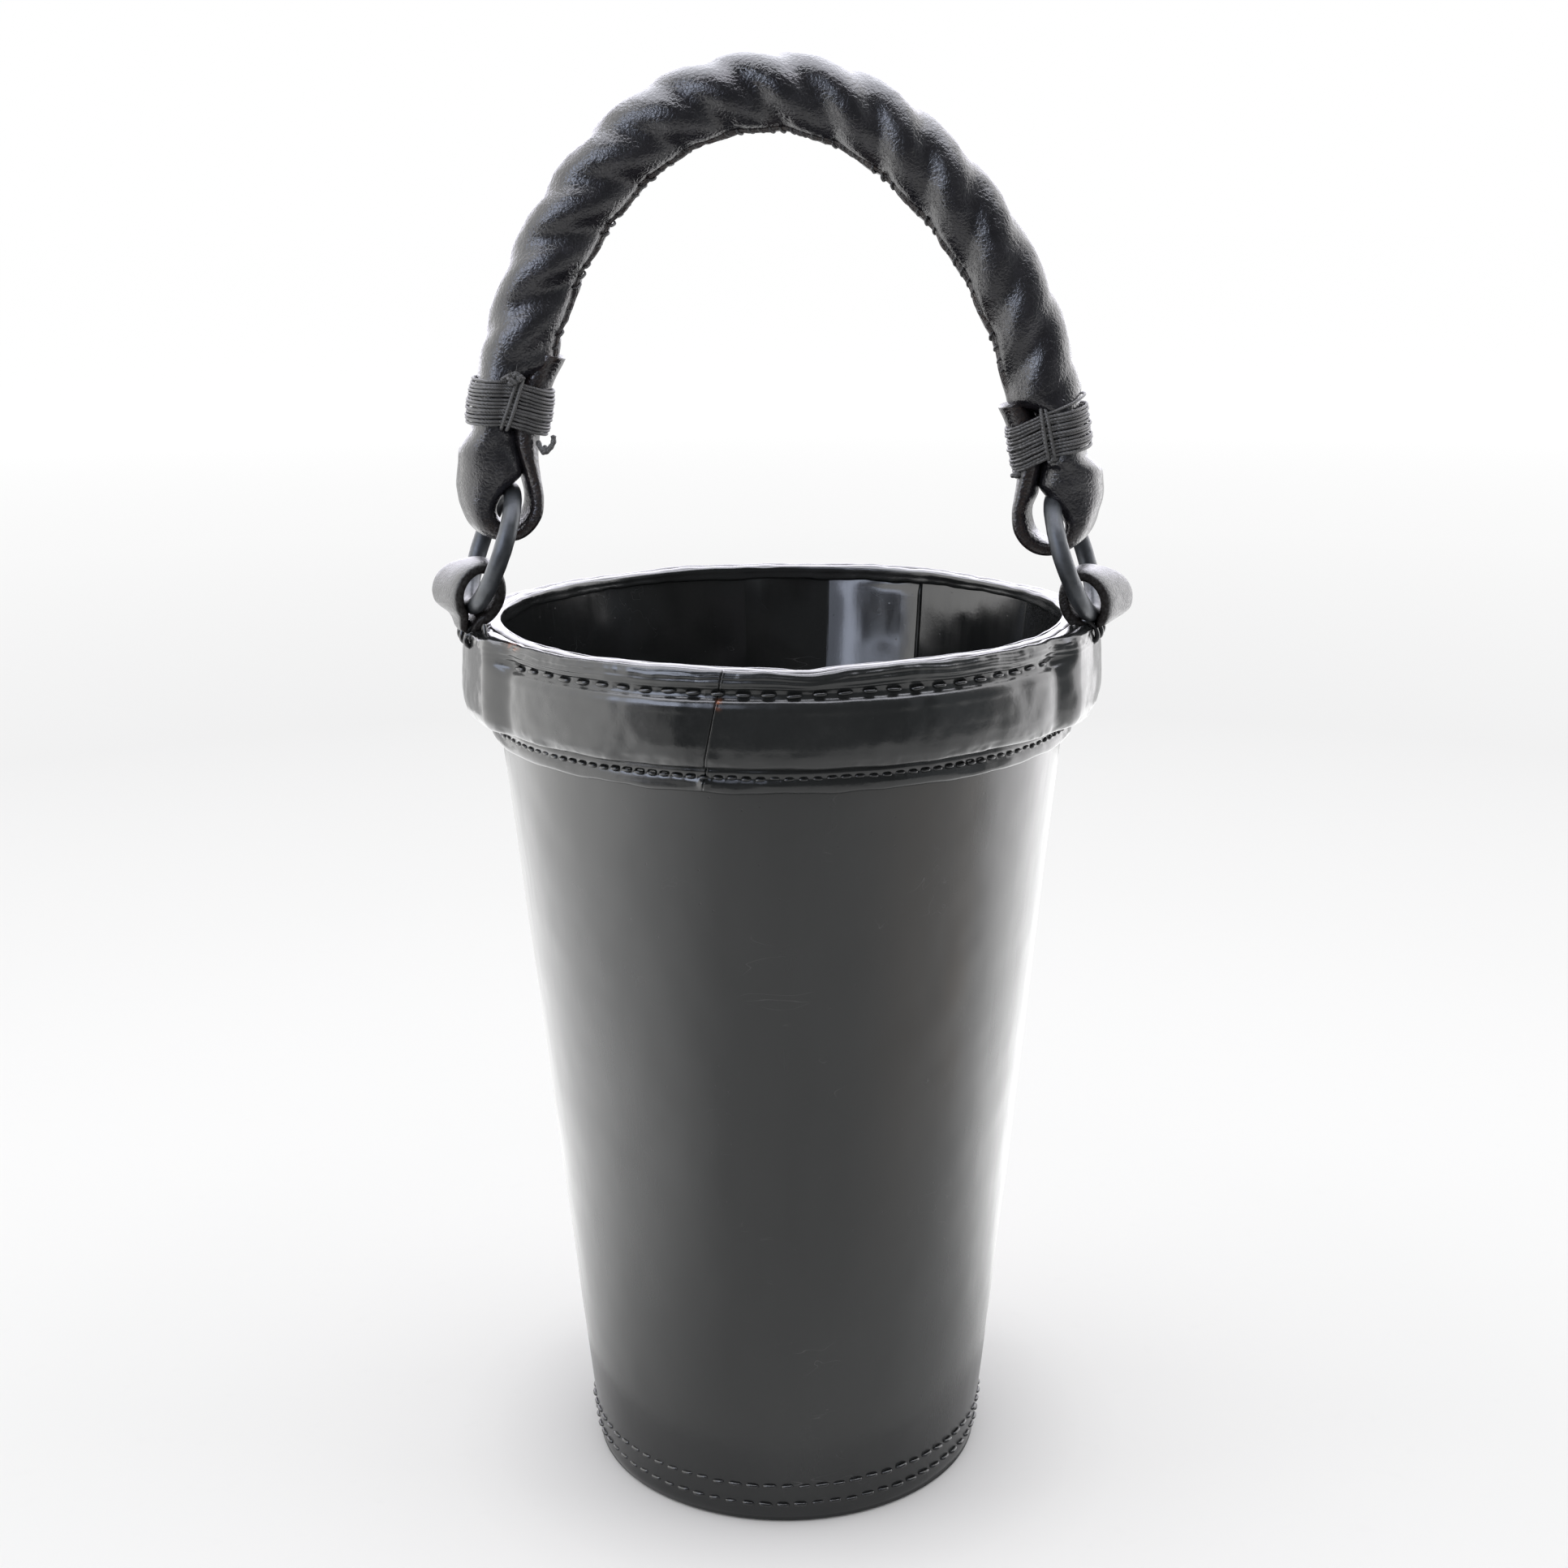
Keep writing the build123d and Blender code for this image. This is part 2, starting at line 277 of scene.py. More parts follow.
def node(nt, kind, inputs, **settings):
    """A new shader node; each input is a value or another node's output."""
    n = nt.nodes.new("ShaderNode" + kind)
    for key, value in settings.items():
        setattr(n, key, value)
    for key, value in inputs.items():
        if hasattr(value, "is_output"):
            nt.links.new(value, n.inputs[key])
        else:
            n.inputs[key].default_value = value
    return n


def material(name, metallic=0.0):
    """A material, its tree, its shader, and each point's place at rest in millimetres."""
    m = bpy.data.materials.new(name)
    m.use_nodes = True
    nt = m.node_tree
    s = nt.nodes["Principled BSDF"]
    s.inputs["Metallic"].default_value = metallic
    s.inputs["IOR"].default_value = 1.5
    s.inputs["Specular IOR Level"].default_value = 0.5
    return m, nt, s, node(nt, "Attribute", {}, attribute_name="rest").outputs["Vector"]


def mapping(nt, vector, scale):
    return node(nt, "Mapping", {"Vector": vector, "Scale": scale}).outputs["Vector"]


def noise_node(nt, vector, size, detail=3.0, rough=0.55, distortion=0.0):
    inputs = {"Vector": vector, "Scale": 1.0 / size, "Detail": detail}
    inputs.update({"Roughness": rough, "Distortion": distortion})
    return node(nt, "TexNoise", inputs).outputs["Fac"]


def cell_node(nt, vector, size, feature="F1"):
    inputs = {"Vector": vector, "Scale": 1.0 / size}
    return node(nt, "TexVoronoi", inputs, feature=feature).outputs["Distance"]


def ramp(nt, fac, stops):
    """A colour ramp; a stop is a position and a colour or one grey level."""
    n = node(nt, "ValToRGB", {"Fac": fac})
    elements = n.color_ramp.elements
    while len(elements) < len(stops):
        elements.new(0.5)
    for element, (position, colour) in zip(elements, stops):
        element.position = position
        element.color = (*(colour if hasattr(colour, "__len__") else (colour,) * 3), 1.0)
    return n.outputs["Color"]


def span(nt, fac, a, b, c, d):
    """fac with the range a to b carried to the range c to d."""
    inputs = {"Value": fac, "From Min": a, "From Max": b, "To Min": c, "To Max": d}
    return node(nt, "MapRange", inputs).outputs["Result"]


def mix(nt, fac, a, b, mode="MIX"):
    a, b = (c if hasattr(c, "is_output") else (*c, 1.0) for c in (a, b))
    inputs = {"Factor": fac, MIX_A: a, MIX_B: b}
    return node(nt, "Mix", inputs, data_type="RGBA", blend_type=mode).outputs[MIX_RESULT]


def math_node(nt, op, a, b=0.0):
    return node(nt, "Math", {0: a, 1: b}, operation=op).outputs[0]


def marked(nt):
    """The tint that make() stored on the points: worn, brown or raw places."""
    return node(nt, "Attribute", {}, attribute_name="tint").outputs["Fac"]


def bump(nt, shader, layers):
    """layers: (height, depth in mm); later layers sit on the earlier ones."""
    below = {}
    for height, depth in layers:
        n = node(nt, "Bump", {"Strength": 1.0, "Distance": depth * 0.001, "Height": height, **below})
        below = {"Normal": n.outputs["Normal"]}
    nt.links.new(below["Normal"], shader.inputs["Normal"])


def shade(nt, shader, colour, cloud, gloss, fine, flicker, layers):
    """Joins the colour, a cloudy roughness with a finer flicker on it, and the bumps to the shader."""
    nt.links.new(colour, shader.inputs["Base Color"])
    rough = math_node(nt, "ADD", span(nt, cloud, 0.3, 0.75, *gloss), span(nt, fine, 0.3, 0.7, *flicker))
    nt.links.new(rough, shader.inputs["Roughness"])
    bump(nt, shader, layers)


def painted(name, gloss, base=(0.0085, 0.0092, 0.0095), worn=False):
    """Black paint over harness leather: glossy, with soft cloudy gloss changes."""
    m, nt, s, v = material(name)
    cloud = noise_node(nt, mapping(nt, v, (1, 1, 0.45)), 38, 4, 0.6)
    fine = noise_node(nt, v, 1.3, 4, 0.6)
    dust = ramp(nt, cell_node(nt, v, 3.4), [(0.0, 1.0), (0.055, 0.0)])
    colour = ramp(nt, cloud, [(0.3, base), (0.72, tuple(1.55 * c for c in base))])
    colour = mix(nt, dust, colour, (0.03, 0.031, 0.032))
    if worn:
        broken = ramp(nt, noise_node(nt, v, 1.8, 4, 0.6), [(0.4, 0.0), (0.56, 1.0)])
        colour = mix(nt, math_node(nt, "MULTIPLY", marked(nt), broken), colour, (0.36, 0.12, 0.055))
    lumps = noise_node(nt, v, 9, 3, 0.5)
    shade(nt, s, colour, cloud, gloss, fine, (-0.03, 0.04), [(lumps, 0.11), (fine, 0.035)])
    return m


def wall_paint(name, gloss, inside=False):
    """The paint of the wall: brushed, scratched, and brown where the tint says so."""
    m, nt, s, v = material(name)
    cloud = noise_node(nt, mapping(nt, v, (1, 1, 0.35)), 42, 4, 0.6)
    fine = noise_node(nt, v, 1.1, 4, 0.6)
    brush = noise_node(nt, mapping(nt, v, (1, 1, 0.06)), 2.2, 3, 0.5)
    pits = cell_node(nt, v, 5.2)
    scratches = noise_node(nt, mapping(nt, v, (0.09, 1.3, 0.55)), 5.5, 2, 0.5, 0.6)
    lines = math_node(nt, "ABSOLUTE", math_node(nt, "SUBTRACT", scratches, 0.5))
    lines = ramp(nt, lines, [(0.0, 1.0), (0.004, 0.0)])
    gate = ramp(nt, noise_node(nt, v, 24, 2), [(0.60, 0.0), (0.68, 1.0)])
    lines = mix(nt, 1.0, lines, gate, "MULTIPLY")
    colour = ramp(nt, cloud, [(0.3, (0.0082, 0.0090, 0.0094)), (0.74, (0.0135, 0.0145, 0.0148))])
    colour = mix(nt, marked(nt), colour, (0.021, 0.0165, 0.0125))
    colour = mix(nt, lines, colour, (0.05, 0.05, 0.052))
    colour = mix(nt, ramp(nt, pits, [(0.0, 1.0), (0.045, 0.0)]), colour, (0.035, 0.036, 0.037))
    layers = [(brush, 0.012), (fine, 0.014), (ramp(nt, pits, [(0.0, 0.0), (0.07, 1.0)]), 0.05)]
    if inside:
        # The wall leans back under the rim beside the lap, so it catches the light there.
        part = node(nt, "SeparateXYZ", {"Vector": v})
        turn_angle = math_node(nt, "ARCTAN2", part.outputs["Y"], part.outputs["X"])
        near = ramp(nt, span(nt, turn_angle, 0.0, 2.0, 0.0, 1.0),
                    [(0.03, 0.0), (0.2, 0.40), (0.4920, 0.44), (0.4942, 1.0), (0.69, 1.0), (0.86, 0.0)])
        lean = math_node(nt, "MULTIPLY", span(nt, part.outputs["Z"], 238, 301, 0.0, -11.5), near)
        layers.insert(0, (lean, 1.0))
    shade(nt, s, colour, cloud, gloss, brush, (-0.02, 0.02), layers)
    return m


def grained(name, base, pale, gloss, grain, depth, brown, cover, raw_shine=None):
    """Worn leather with a pebble grain.

    Marked places take the colour brown over at least the share cover, and the specular
    level raw_shine where one is given.
    """
    m, nt, s, v = material(name)
    cloud = noise_node(nt, v, 16, 4, 0.6)
    pebble = cell_node(nt, v, grain)
    edges = ramp(nt, cell_node(nt, v, grain * 1.15, "DISTANCE_TO_EDGE"), [(0.0, 0.0), (0.16, 1.0)])
    fine = noise_node(nt, v, 0.5, 3, 0.6)
    crease = noise_node(nt, mapping(nt, v, (1.0, 1.0, 2.2)), 3.6, 4, 0.65, 0.5)
    colour = ramp(nt, cloud, [(0.28, base), (0.75, pale)])
    rub = ramp(nt, noise_node(nt, v, 7.5, 5, 0.65), [(0.52, 0.0), (0.72, 1.0)])
    colour = mix(nt, math_node(nt, "MULTIPLY", rub, 0.5), colour, tuple(2.0 * c for c in pale))
    speck = ramp(nt, noise_node(nt, v, 1.1, 3, 0.6), [(0.40, cover), (0.62, 1.0)])
    raw = math_node(nt, "MULTIPLY", marked(nt), speck)
    colour = mix(nt, raw, colour, brown)
    if raw_shine is not None:
        nt.links.new(span(nt, raw, 0.0, 1.0, 0.5, raw_shine), s.inputs["Specular IOR Level"])
    layers = [(crease, depth * 1.3), (pebble, depth), (edges, depth * 0.45), (fine, 0.015)]
    shade(nt, s, colour, cloud, gloss, crease, (-0.05, 0.05), layers)
    return m


def iron():
    m, nt, s, v = material("forged_iron", metallic=0.55)
    cloud = noise_node(nt, v, 6, 4, 0.6)
    fine = noise_node(nt, v, 0.7, 4, 0.6)
    colour = ramp(nt, cloud, [(0.3, (0.030, 0.033, 0.037)), (0.72, (0.056, 0.061, 0.069))])
    rust = ramp(nt, noise_node(nt, v, 2.6, 5, 0.7), [(0.66, 0.0), (0.76, 1.0)])
    colour = mix(nt, math_node(nt, "MULTIPLY", rust, 0.5), colour, (0.055, 0.042, 0.034))
    shade(nt, s, colour, cloud, (0.36, 0.5), fine, (-0.05, 0.06), [(cloud, 0.12), (fine, 0.05)])
    return m


def waxed_thread(name, base, pale, gloss):
    m, nt, s, v = material(name)
    fuzz = noise_node(nt, v, 0.35, 3, 0.7)
    cloud = noise_node(nt, v, 4.5, 3, 0.6)
    strands = node(nt, "TexWave", {"Vector": v, "Scale": 0.65, "Distortion": 1.5},
                   wave_type="BANDS", bands_direction="DIAGONAL")
    colour = ramp(nt, cloud, [(0.3, base), (0.7, pale)])
    colour = mix(nt, math_node(nt, "MULTIPLY", fuzz, 0.35), colour, tuple(2.2 * c for c in pale))
    nt.links.new(colour, s.inputs["Base Color"])
    nt.links.new(span(nt, cloud, 0.3, 0.7, *gloss), s.inputs["Roughness"])
    bump(nt, s, [(strands.outputs["Fac"], 0.14), (fuzz, 0.08)])
    return m


WALL_PAINT = wall_paint("painted_wall", (0.19, 0.29))
INSIDE_PAINT = wall_paint("painted_inside", (0.11, 0.19), inside=True)
BAND_PAINT = painted("painted_band", (0.15, 0.27), worn=True)
LINING_PAINT = painted("painted_lining", (0.11, 0.22), (0.0095, 0.0102, 0.0105))
STITCH_PAINT = painted("painted_stitching", (0.13, 0.24), (0.011, 0.0115, 0.012))
TAB_LEATHER = grained("tab_leather", (0.034, 0.0345, 0.036), (0.075, 0.075, 0.077), (0.32, 0.46), 0.9, 0.10,
                      brown=(0.0095, 0.0078, 0.0075), cover=0.8, raw_shine=0.12)
HANDLE_LEATHER = grained("handle_leather", (0.0062, 0.0060, 0.0082), (0.0125, 0.0120, 0.0152), (0.18, 0.29),
                         1.1, 0.085, brown=(0.026, 0.016, 0.013), cover=0.25)
IRON = iron()
WHIP_THREAD = waxed_thread("whipping_thread", (0.020, 0.020, 0.021), (0.052, 0.051, 0.052), (0.42, 0.55))
SEAM_THREAD = waxed_thread("seam_thread", (0.012, 0.012, 0.013), (0.03, 0.029, 0.029), (0.45, 0.6))


def wall_radius(z):
    return BASE_RADIUS + (RIM_RADIUS - BASE_RADIUS) * z / RIM_HEIGHT


def rim_wave(angle):
    """Height of the hand-made rim round the mouth."""
    p = cylinder_points(60.0, angle, 0.0)
    kink = 0.9 * hump(around(angle, -85.5), 4.5)
    return 0.75 * noise(p, 34, 5) + 0.3 * noise(p, 11, 6) - kink


# ---- wall --------------------------------------------------------------------
LAP_ANGLE = 56.5  # the step inside, where the wall's end laps over its start


def build_wall():
    """Closed section in four runs: up the outside, over the top, down the inside, across the foot."""
    th = np.sort(np.concatenate([np.linspace(0, 360, 960, endpoint=False) + 0.01,
                                  LAP_ANGLE + np.array([-0.1, -0.03, 0.03, 0.1])]))
    outer = [("o", z) for z in np.concatenate([[1.3, 2.0], np.linspace(3, 300, 210), [303.6]])]
    top = [("t", u) for u in (0.04, 0.12, 0.3, 0.5, 0.7, 0.88, 0.96)]
    inner = [("i", z) for z in np.concatenate([[303.6], np.linspace(300, 3, 200), [1.3]])]
    foot = [("f", u) for u in (0.05, 0.18, 0.5, 0.82, 0.95)]
    rows = []
    lap = np.where(th >= LAP_ANGLE, 0.9 * (1 - smooth(LAP_ANGLE + 7, LAP_ANGLE + 21, th)), 0.0)
    section = outer + top + inner + foot
    for kind, a in section:
        if kind in "oi":
            z = a + rim_wave(th) * smooth(296, 305, a)
            if kind == "o":
                r = wall_radius(a)
                p = cylinder_points(r, th, z)
                r = r + 0.32 * fbm(p, 52, 2, 31) + 0.10 * fbm(p, 15, 2, 41)
                if a < 3:
                    r = r - 0.5 * (1 - smooth(1.0, 3.0, a))
            else:
                r = wall_radius(a) - WALL
                p = cylinder_points(r, th, z)
                edge = smooth(20, 23, a) * (1 - smooth(297, 300, a))
                r = r + 0.45 * fbm(p, 46, 2, 51) + 0.12 * fbm(p, 13, 2, 61) - lap * edge
        elif kind == "t":
            r = wall_radius(304.5) - WALL * a
            p = cylinder_points(r, th, RIM_HEIGHT)
            z = RIM_HEIGHT + 0.35 * math.sin(math.pi * a) + rim_wave(th) + 0.25 * noise(p, 6, 71)
        else:
            r = wall_radius(0.5) - WALL + WALL * a
            z = 0.9 * (1 - math.sin(math.pi * a)) ** 2
        rows.append(cylinder_points(r, th, z))
    v = np.stack(rows)
    parts = Parts().add(v, quads_of(len(rows), len(th), wrap_rows=True))
    # Two brown streaks down the front right.
    flat = v.reshape(-1, 3)
    angle, z = np.degrees(np.arctan2(flat[:, 1], flat[:, 0])), flat[:, 2]
    streak = hump(angle + 51, 4.5) * smooth(120, 190, z) * (0.7 + 0.5 * noise(flat, 14, 81))
    streak = streak + 0.5 * hump(angle + 62, 9.0) * smooth(60, 200, z)
    inside = np.repeat(np.array([kind == "i" for kind, _ in section]), len(th))
    return make("body_wall_leather", parts, WALL_PAINT, "bucket", ["body_wall"],
                tint=np.clip(streak, 0, 1), second=(INSIDE_PAINT, inside))


# ---- band --------------------------------------------------------------------
# Sections of the band from its lower edge to the mouth (radius, height): plain, and over a tab's leg.
SKIRT = [(95.3, 266.6), (97.5, 266.6), (98.4, 267.3), (98.65, 269.4), (98.35, 271.5), (98.75, 273.3)]
PLAIN = SKIRT + [
    (98.5, 274.4), (99.8, 274.5), (101.9, 275.3), (103.2, 277.6), (103.75, 281), (103.8, 285.5),
    (103.5, 291), (103.2, 294.3), (102.6, 295.5), (101.5, 296.6), (101.35, 298.2), (101.9, 299.9),
    (102.3, 301), (102.2, 303), (101.7, 304.7), (100.8, 305.3), (99.2, 305.0),
]
BULGED = SKIRT + [
    (99.3, 274.4), (102.6, 274.7), (105.6, 275.8), (107.2, 278.4), (107.9, 282), (107.9, 286),
    (107.6, 291), (107.5, 294.3), (107.4, 295.7), (107.3, 296.7), (107.2, 298.2), (107.1, 299.7),
    (107.0, 301), (106.8, 303), (106.3, 304.7), (105.2, 305.3), (99.2, 305.0),
]


def bulge_share(angle):
    """1 where the band steps out over a tab's leg, 0 elsewhere."""
    return sum(1 - smooth(12.2, 19.5, np.abs(around(angle, azimuth))) for azimuth in TAB_AZIMUTH.values())


JOINT_ANGLE = -102.05  # where the two ends of the band meet, left of the front
JOINT_SLANT = 0.111  # degrees for each millimetre up


def build_band():
    fine = JOINT_ANGLE % 360 + np.linspace(-3.3, 3.3, 133)
    th = np.sort(np.concatenate([np.linspace(0, 360, 1440, endpoint=False) + 0.013, fine]))
    n = 168
    plain, bulged = curve(PLAIN, n), curve(BULGED, n)
    share = bulge_share(th)[None, :]
    r = plain[:, :1] * (1 - share) + bulged[:, :1] * share
    z = plain[:, 1:] * (1 - share) + bulged[:, 1:] * share
    rows = np.arange(n)[:, None] / (n - 1)
    angle = np.broadcast_to(th[None, :], r.shape)
    p = cylinder_points(r, angle, z)
    # Hand-worked leather: the face, the roll below, the lip and its layered raw edges above.
    face = smooth(0.06, 0.12, rows)
    r = r + face * (0.42 * fbm(p, 21, 3, 101) + 0.10 * noise(p, 4.2, 111))
    roll = hump(z - 276.3, 1.9)
    r = r + roll * (0.5 * noise(p, 7.5, 121) + 0.35 * np.maximum(0, noise(p, 3.1, 122)))
    z = z + roll * 0.55 * noise(p, 11, 123)
    lip = hump(z - 303.5, 1.8)
    r = r + lip * (0.30 * noise(p, 5.5, 131) + 0.25 * np.maximum(0, noise(p, 2.4, 132)))
    layers = smooth(298.8, 299.8, z) * (1 - smooth(304.3, 305.0, z)) * (1 - 0.75 * share)
    ragged = 0.55 + 0.45 * noise(p, 13, 135)
    r = r + layers * ragged * 0.30 * np.sin((z - 299.5) * TAU / 1.75 + 1.6 * noise(p, 19, 136))
    z = z + smooth(296, 304, z) * (rim_wave(th)[None, :] + 0.22 * noise(p, 5.0, 133))
    z = z + (1 - smooth(267, 270, z)) * 0.45 * noise(p, 8.0, 134)
    # Seats of the two stitch rows.
    for row_z, count, depth, width, kept in ((RIM_ROW, RIM_STITCHES, 0.3, 0.9, 1 - share),
                                             (BAND_ROW, BAND_STITCHES, 0.35, 0.8, 1.0)):
        phase = (th[None, :] / 360.0 * count) % 1.0
        seat = 0.35 + 0.65 * np.abs(np.sin(math.pi * phase)) ** 0.6
        r = r - depth * seat * hump(z - row_z, width) * kept
    # Creases where the band steps out over each tab.
    for azimuth in TAB_AZIMUTH.values():
        for end in (-1, 1):
            off = around(angle, azimuth + end * 19.0)
            r = r - 0.3 * hump(off, 1.9) * smooth(275, 280, z)
    # The butt joint, and a blob of paint at its foot.
    off = around(angle, JOINT_ANGLE) - JOINT_SLANT * (z - 285)
    open_joint = hump(off, 0.11)
    r = r - face * (0.55 * open_joint - 0.16 * hump(off - 0.26, 0.16))
    blob = np.exp(-((off / 0.9) ** 2) - ((z - 269.5) / 1.6) ** 2)
    r = r + 0.9 * blob
    v = cylinder_points(r, angle, z)
    parts = Parts().add(v, quads_of(n, len(th)))
    # Chips that show the brown leather.
    chips = np.zeros(z.size)
    for place, height, wide, high in ((-145.5, 304.3, 1.5, 1.1), (-100.4, 295.0, 0.45, 1.1)):
        chip = np.exp(-((around(angle, place) / wide) ** 2) - ((z - height) / high) ** 2)
        chips = np.maximum(chips, chip.ravel())
    return make("rim_band_leather", parts, BAND_PAINT, "bucket", ["rim_band", "rim_filler"],
                tint=chips)


def build_lining():
    """Thin strip inside the mouth. Rows: share of its height, inset from the wall."""
    th = np.linspace(0, 360, 1200, endpoint=False)
    p = cylinder_points(90.0, th, 300.0)
    low = 300.4 + 0.7 * noise(p, 17, 141) + 0.35 * noise(p, 5, 142)
    top = 305.0 + rim_wave(th) + 0.2 * noise(p, 6, 143)
    rows = []
    for f, inset in ((0.0, -0.1), (0.0, 0.55), (0.05, 0.95), (0.15, 1.05), (0.35, 0.95), (0.6, 1.0),
                     (0.85, 1.1), (0.97, 0.95), (1.04, 0.5), (1.02, 0.1), (0.98, -0.3)):
        z = low + (top - low) * f
        r = wall_radius(z) - WALL - inset + 0.15 * noise(cylinder_points(90.0, th, z), 6, 144) * (inset > 0.2)
        rows.append(cylinder_points(r, th, z))
    v = np.stack(rows)
    parts = Parts().add(v, quads_of(len(rows), len(th), wrap_rows=True))
    return make("rim_lining_leather", parts, LINING_PAINT, "bucket", ["rim_lining"])


def stitch_ring(name, cad_node, radius, z, count, length, thick, gap=0.0, wave=0.0):
    """Level row of stitches; gap leaves out those nearer than that to a tab, wave follows the rim."""
    parts = Parts()
    for i in range(count):
        angle = 360.0 * (i + 0.5) / count
        if min(abs(around(angle, a)) for a in TAB_AZIMUTH.values()) < gap:
            continue
        out = radial(angle)
        along = np.array([-out[1], out[0], rng.uniform(-0.09, 0.09)])
        height = z + rng.uniform(-0.25, 0.25) + wave * rim_wave(angle)
        centre = out * (radius + rng.uniform(-0.08, 0.06)) + UP * height
        stitch(parts, centre, along, out, length * rng.uniform(0.88, 1.1), thick * rng.uniform(0.88, 1.1))
    return make(name, parts, STITCH_PAINT, "bucket", [cad_node])


def build_seam():
    """The lap's two rows of stitches: one outside, one inside."""
    parts = Parts()
    for i in range(30):
        z = 29.5 + i * 7.6
        for angle, r, side in ((72.0, wall_radius(z) - 0.3, 1.0), (63.0, wall_radius(z) - WALL - 0.6, -1.0)):
            out = radial(angle)
            along = out * WALL_LEAN + UP + sideways(out) * rng.uniform(-0.06, 0.06)
            centre = out * (r + side * 0.1) + UP * z
            stitch(parts, centre, along, out * side, 4.8 * rng.uniform(0.9, 1.08), 0.75)
    return make("side_seam_stitching", parts, STITCH_PAINT, "bucket", ["side_seam_stitches"])


def build_base():
    """The recessed disc with its flange turned down inside the wall; rows of radius and height."""
    th = np.linspace(0, 360, 240, endpoint=False)
    top, under = 20.0, 16.5
    inner, middle, foot = (wall_radius(z) - WALL for z in (top, 10.0, 1.5))
    spec = [(r, top + 0.25 * (r / inner) ** 6) for r in np.linspace(0.4, inner - 0.3, 34)]
    spec += [(inner + 0.15, 19.2), (middle, 10.0), (foot, 1.8), (foot - 0.5, 1.3), (foot - 3.0, 1.3),
             (foot - 3.5, 1.9), (middle - 3.5, 10.0), (inner - 4.0, 15.4), (inner - 5.2, 16.4)]
    spec += [(r, under) for r in np.linspace(inner - 7, 0.4, 26)]
    rows = []
    for r, z in spec:
        p = cylinder_points(r, th, z)
        p[:, 2] += 0.3 * fbm(p, 30, 2, 151) * (1 - smooth(inner - 8, inner - 1, r))
        rows.append(p)
    v = np.concatenate([np.concatenate(rows), [UP * top, UP * under]])
    parts = Parts().add(v, quads_of(len(rows), len(th)), end_fans(len(rows), len(th)))
    return make("base_disc_leather", parts, LINING_PAINT, "bucket", ["base_disc"])


# ---- rings -------------------------------------------------------------------
TAB_LEAN = 19.0
RING_LEAN = {"left": 21.5, "right": 20.2}
RING_RADIUS, WIRE_RADIUS = 19.7, 2.9


def ring_axes(side, lean=TAB_LEAN):
    """Directions in a ring's plane, level and up, and square to it on the outer side."""
    lean, yaw = math.radians(lean), math.radians(16.0)
    along = np.array([math.sin(yaw), -math.cos(yaw), 0.0])
    up = np.array([math.sin(lean), 0.0, math.cos(lean)])
    up = unit(up - along * (up @ along))
    normal = np.cross(up, along)
    if side == "right":
        along, up, normal = (a * np.array([-1.0, 1.0, 1.0]) for a in (along, up, normal))
    return along, up, normal


def build_ring(side):
    """The ring, lying a little further over than the tab that holds it."""
    along, up, normal = ring_axes(side, RING_LEAN[side])
    middle = RING_CENTRE[side] + (up - ring_axes(side)[1]) * TAB_DROP
    n, m = 220, 32
    u = np.arange(n)[:, None] * TAU / n
    w = np.arange(m)[None, :] * TAU / m
    major = RING_RADIUS + 0.18 * np.sin(2 * u + 0.6) + 0.12 * np.sin(3 * u)
    out = along * np.cos(u)[..., None] + up * np.sin(u)[..., None]
    centre = middle + out * major[..., None]
    direction = out * np.cos(w)[..., None] + normal * np.sin(w)[..., None]
    p = centre + direction * WIRE_RADIUS
    weld = hump(around(np.degrees(u), 250), 9.0)
    r = WIRE_RADIUS * (1 + 0.025 * noise(p, 7, 161) + 0.02 * noise(p, 2.2, 162) + 0.05 * weld)
    v = centre + direction * r[..., None]
    parts = Parts().add(v, quads_of(n, m, wrap_rows=True))
    return make(side + "_iron_ring", parts, IRON, side + "_ring", [side + "_ring"])


# ---- strap sweeps ------------------------------------------------------------
def sweep(outer, inner, along, width, power, m, wobble, seed, cap):
    """Strap or tube of m points round, domed at its ends.

    Its section spans outer to inner, with half-width along 'along'; power 2 is an ellipse,
    more is boxier. Returns points, quads, triangles, and the grid of points without the domes.
    """
    a = np.arange(m) * TAU / m
    c, s = np.cos(a)[None, :], np.sin(a)[None, :]
    e = (2.0 / power)[:, None]
    x = np.sign(c) * np.abs(c) ** e
    y = np.sign(s) * np.abs(s) ** e
    mid = (outer + inner) / 2
    half = (outer - inner) / 2
    v = mid[:, None] + half[:, None] * x[..., None] + along[:, None] * (y * width[:, None])[..., None]
    v = v + unit(v - mid[:, None]) * (wobble * fbm(v, 9.0, 3, seed))[..., None]
    n = len(mid)
    flow = unit(np.gradient(mid, axis=0))
    q = quads_of(n, m)
    k = np.arange(m)
    k2 = (k + 1) % m
    pts, tris, base = [v.reshape(-1, 3)], [], n * m
    for row, way, depth in ((0, 1, cap[0]), (n - 1, -1, cap[1])):
        centre = v[row].mean(0)
        reach = flow[row] * way * depth
        pts += [centre + (v[row] - centre) * f + reach * d for f, d in ((0.8, 0.25), (0.6, 0.8), (0.3, 1.0))]
        pts.append((centre + reach)[None])
        prev = row * m
        for i in range(3):
            cur = base + i * m
            pair = [prev + k, prev + k2, cur + k2, cur + k]
            q = np.concatenate([q, np.stack(pair if way < 0 else pair[::-1], -1)])
            prev = cur
        tip = np.full(m, base + 3 * m)
        tris.append(np.stack([prev + k, prev + k2, tip] if way < 0 else [prev + k2, prev + k, tip], -1))
        base += 3 * m + 1
    return np.concatenate(pts), q, np.concatenate(tris), v


# The handle's middle line in its plane: start (x, z), first heading, then arcs (radius, turn).
HANDLE_START, HANDLE_HEADING = (-89.47, 349.31), 87.15
HANDLE_ARCS = [(191.1, 20.52), (107.5, 28.13), (62.4, 74.92), (127.3, 36.64), (234.1, 10.77)]


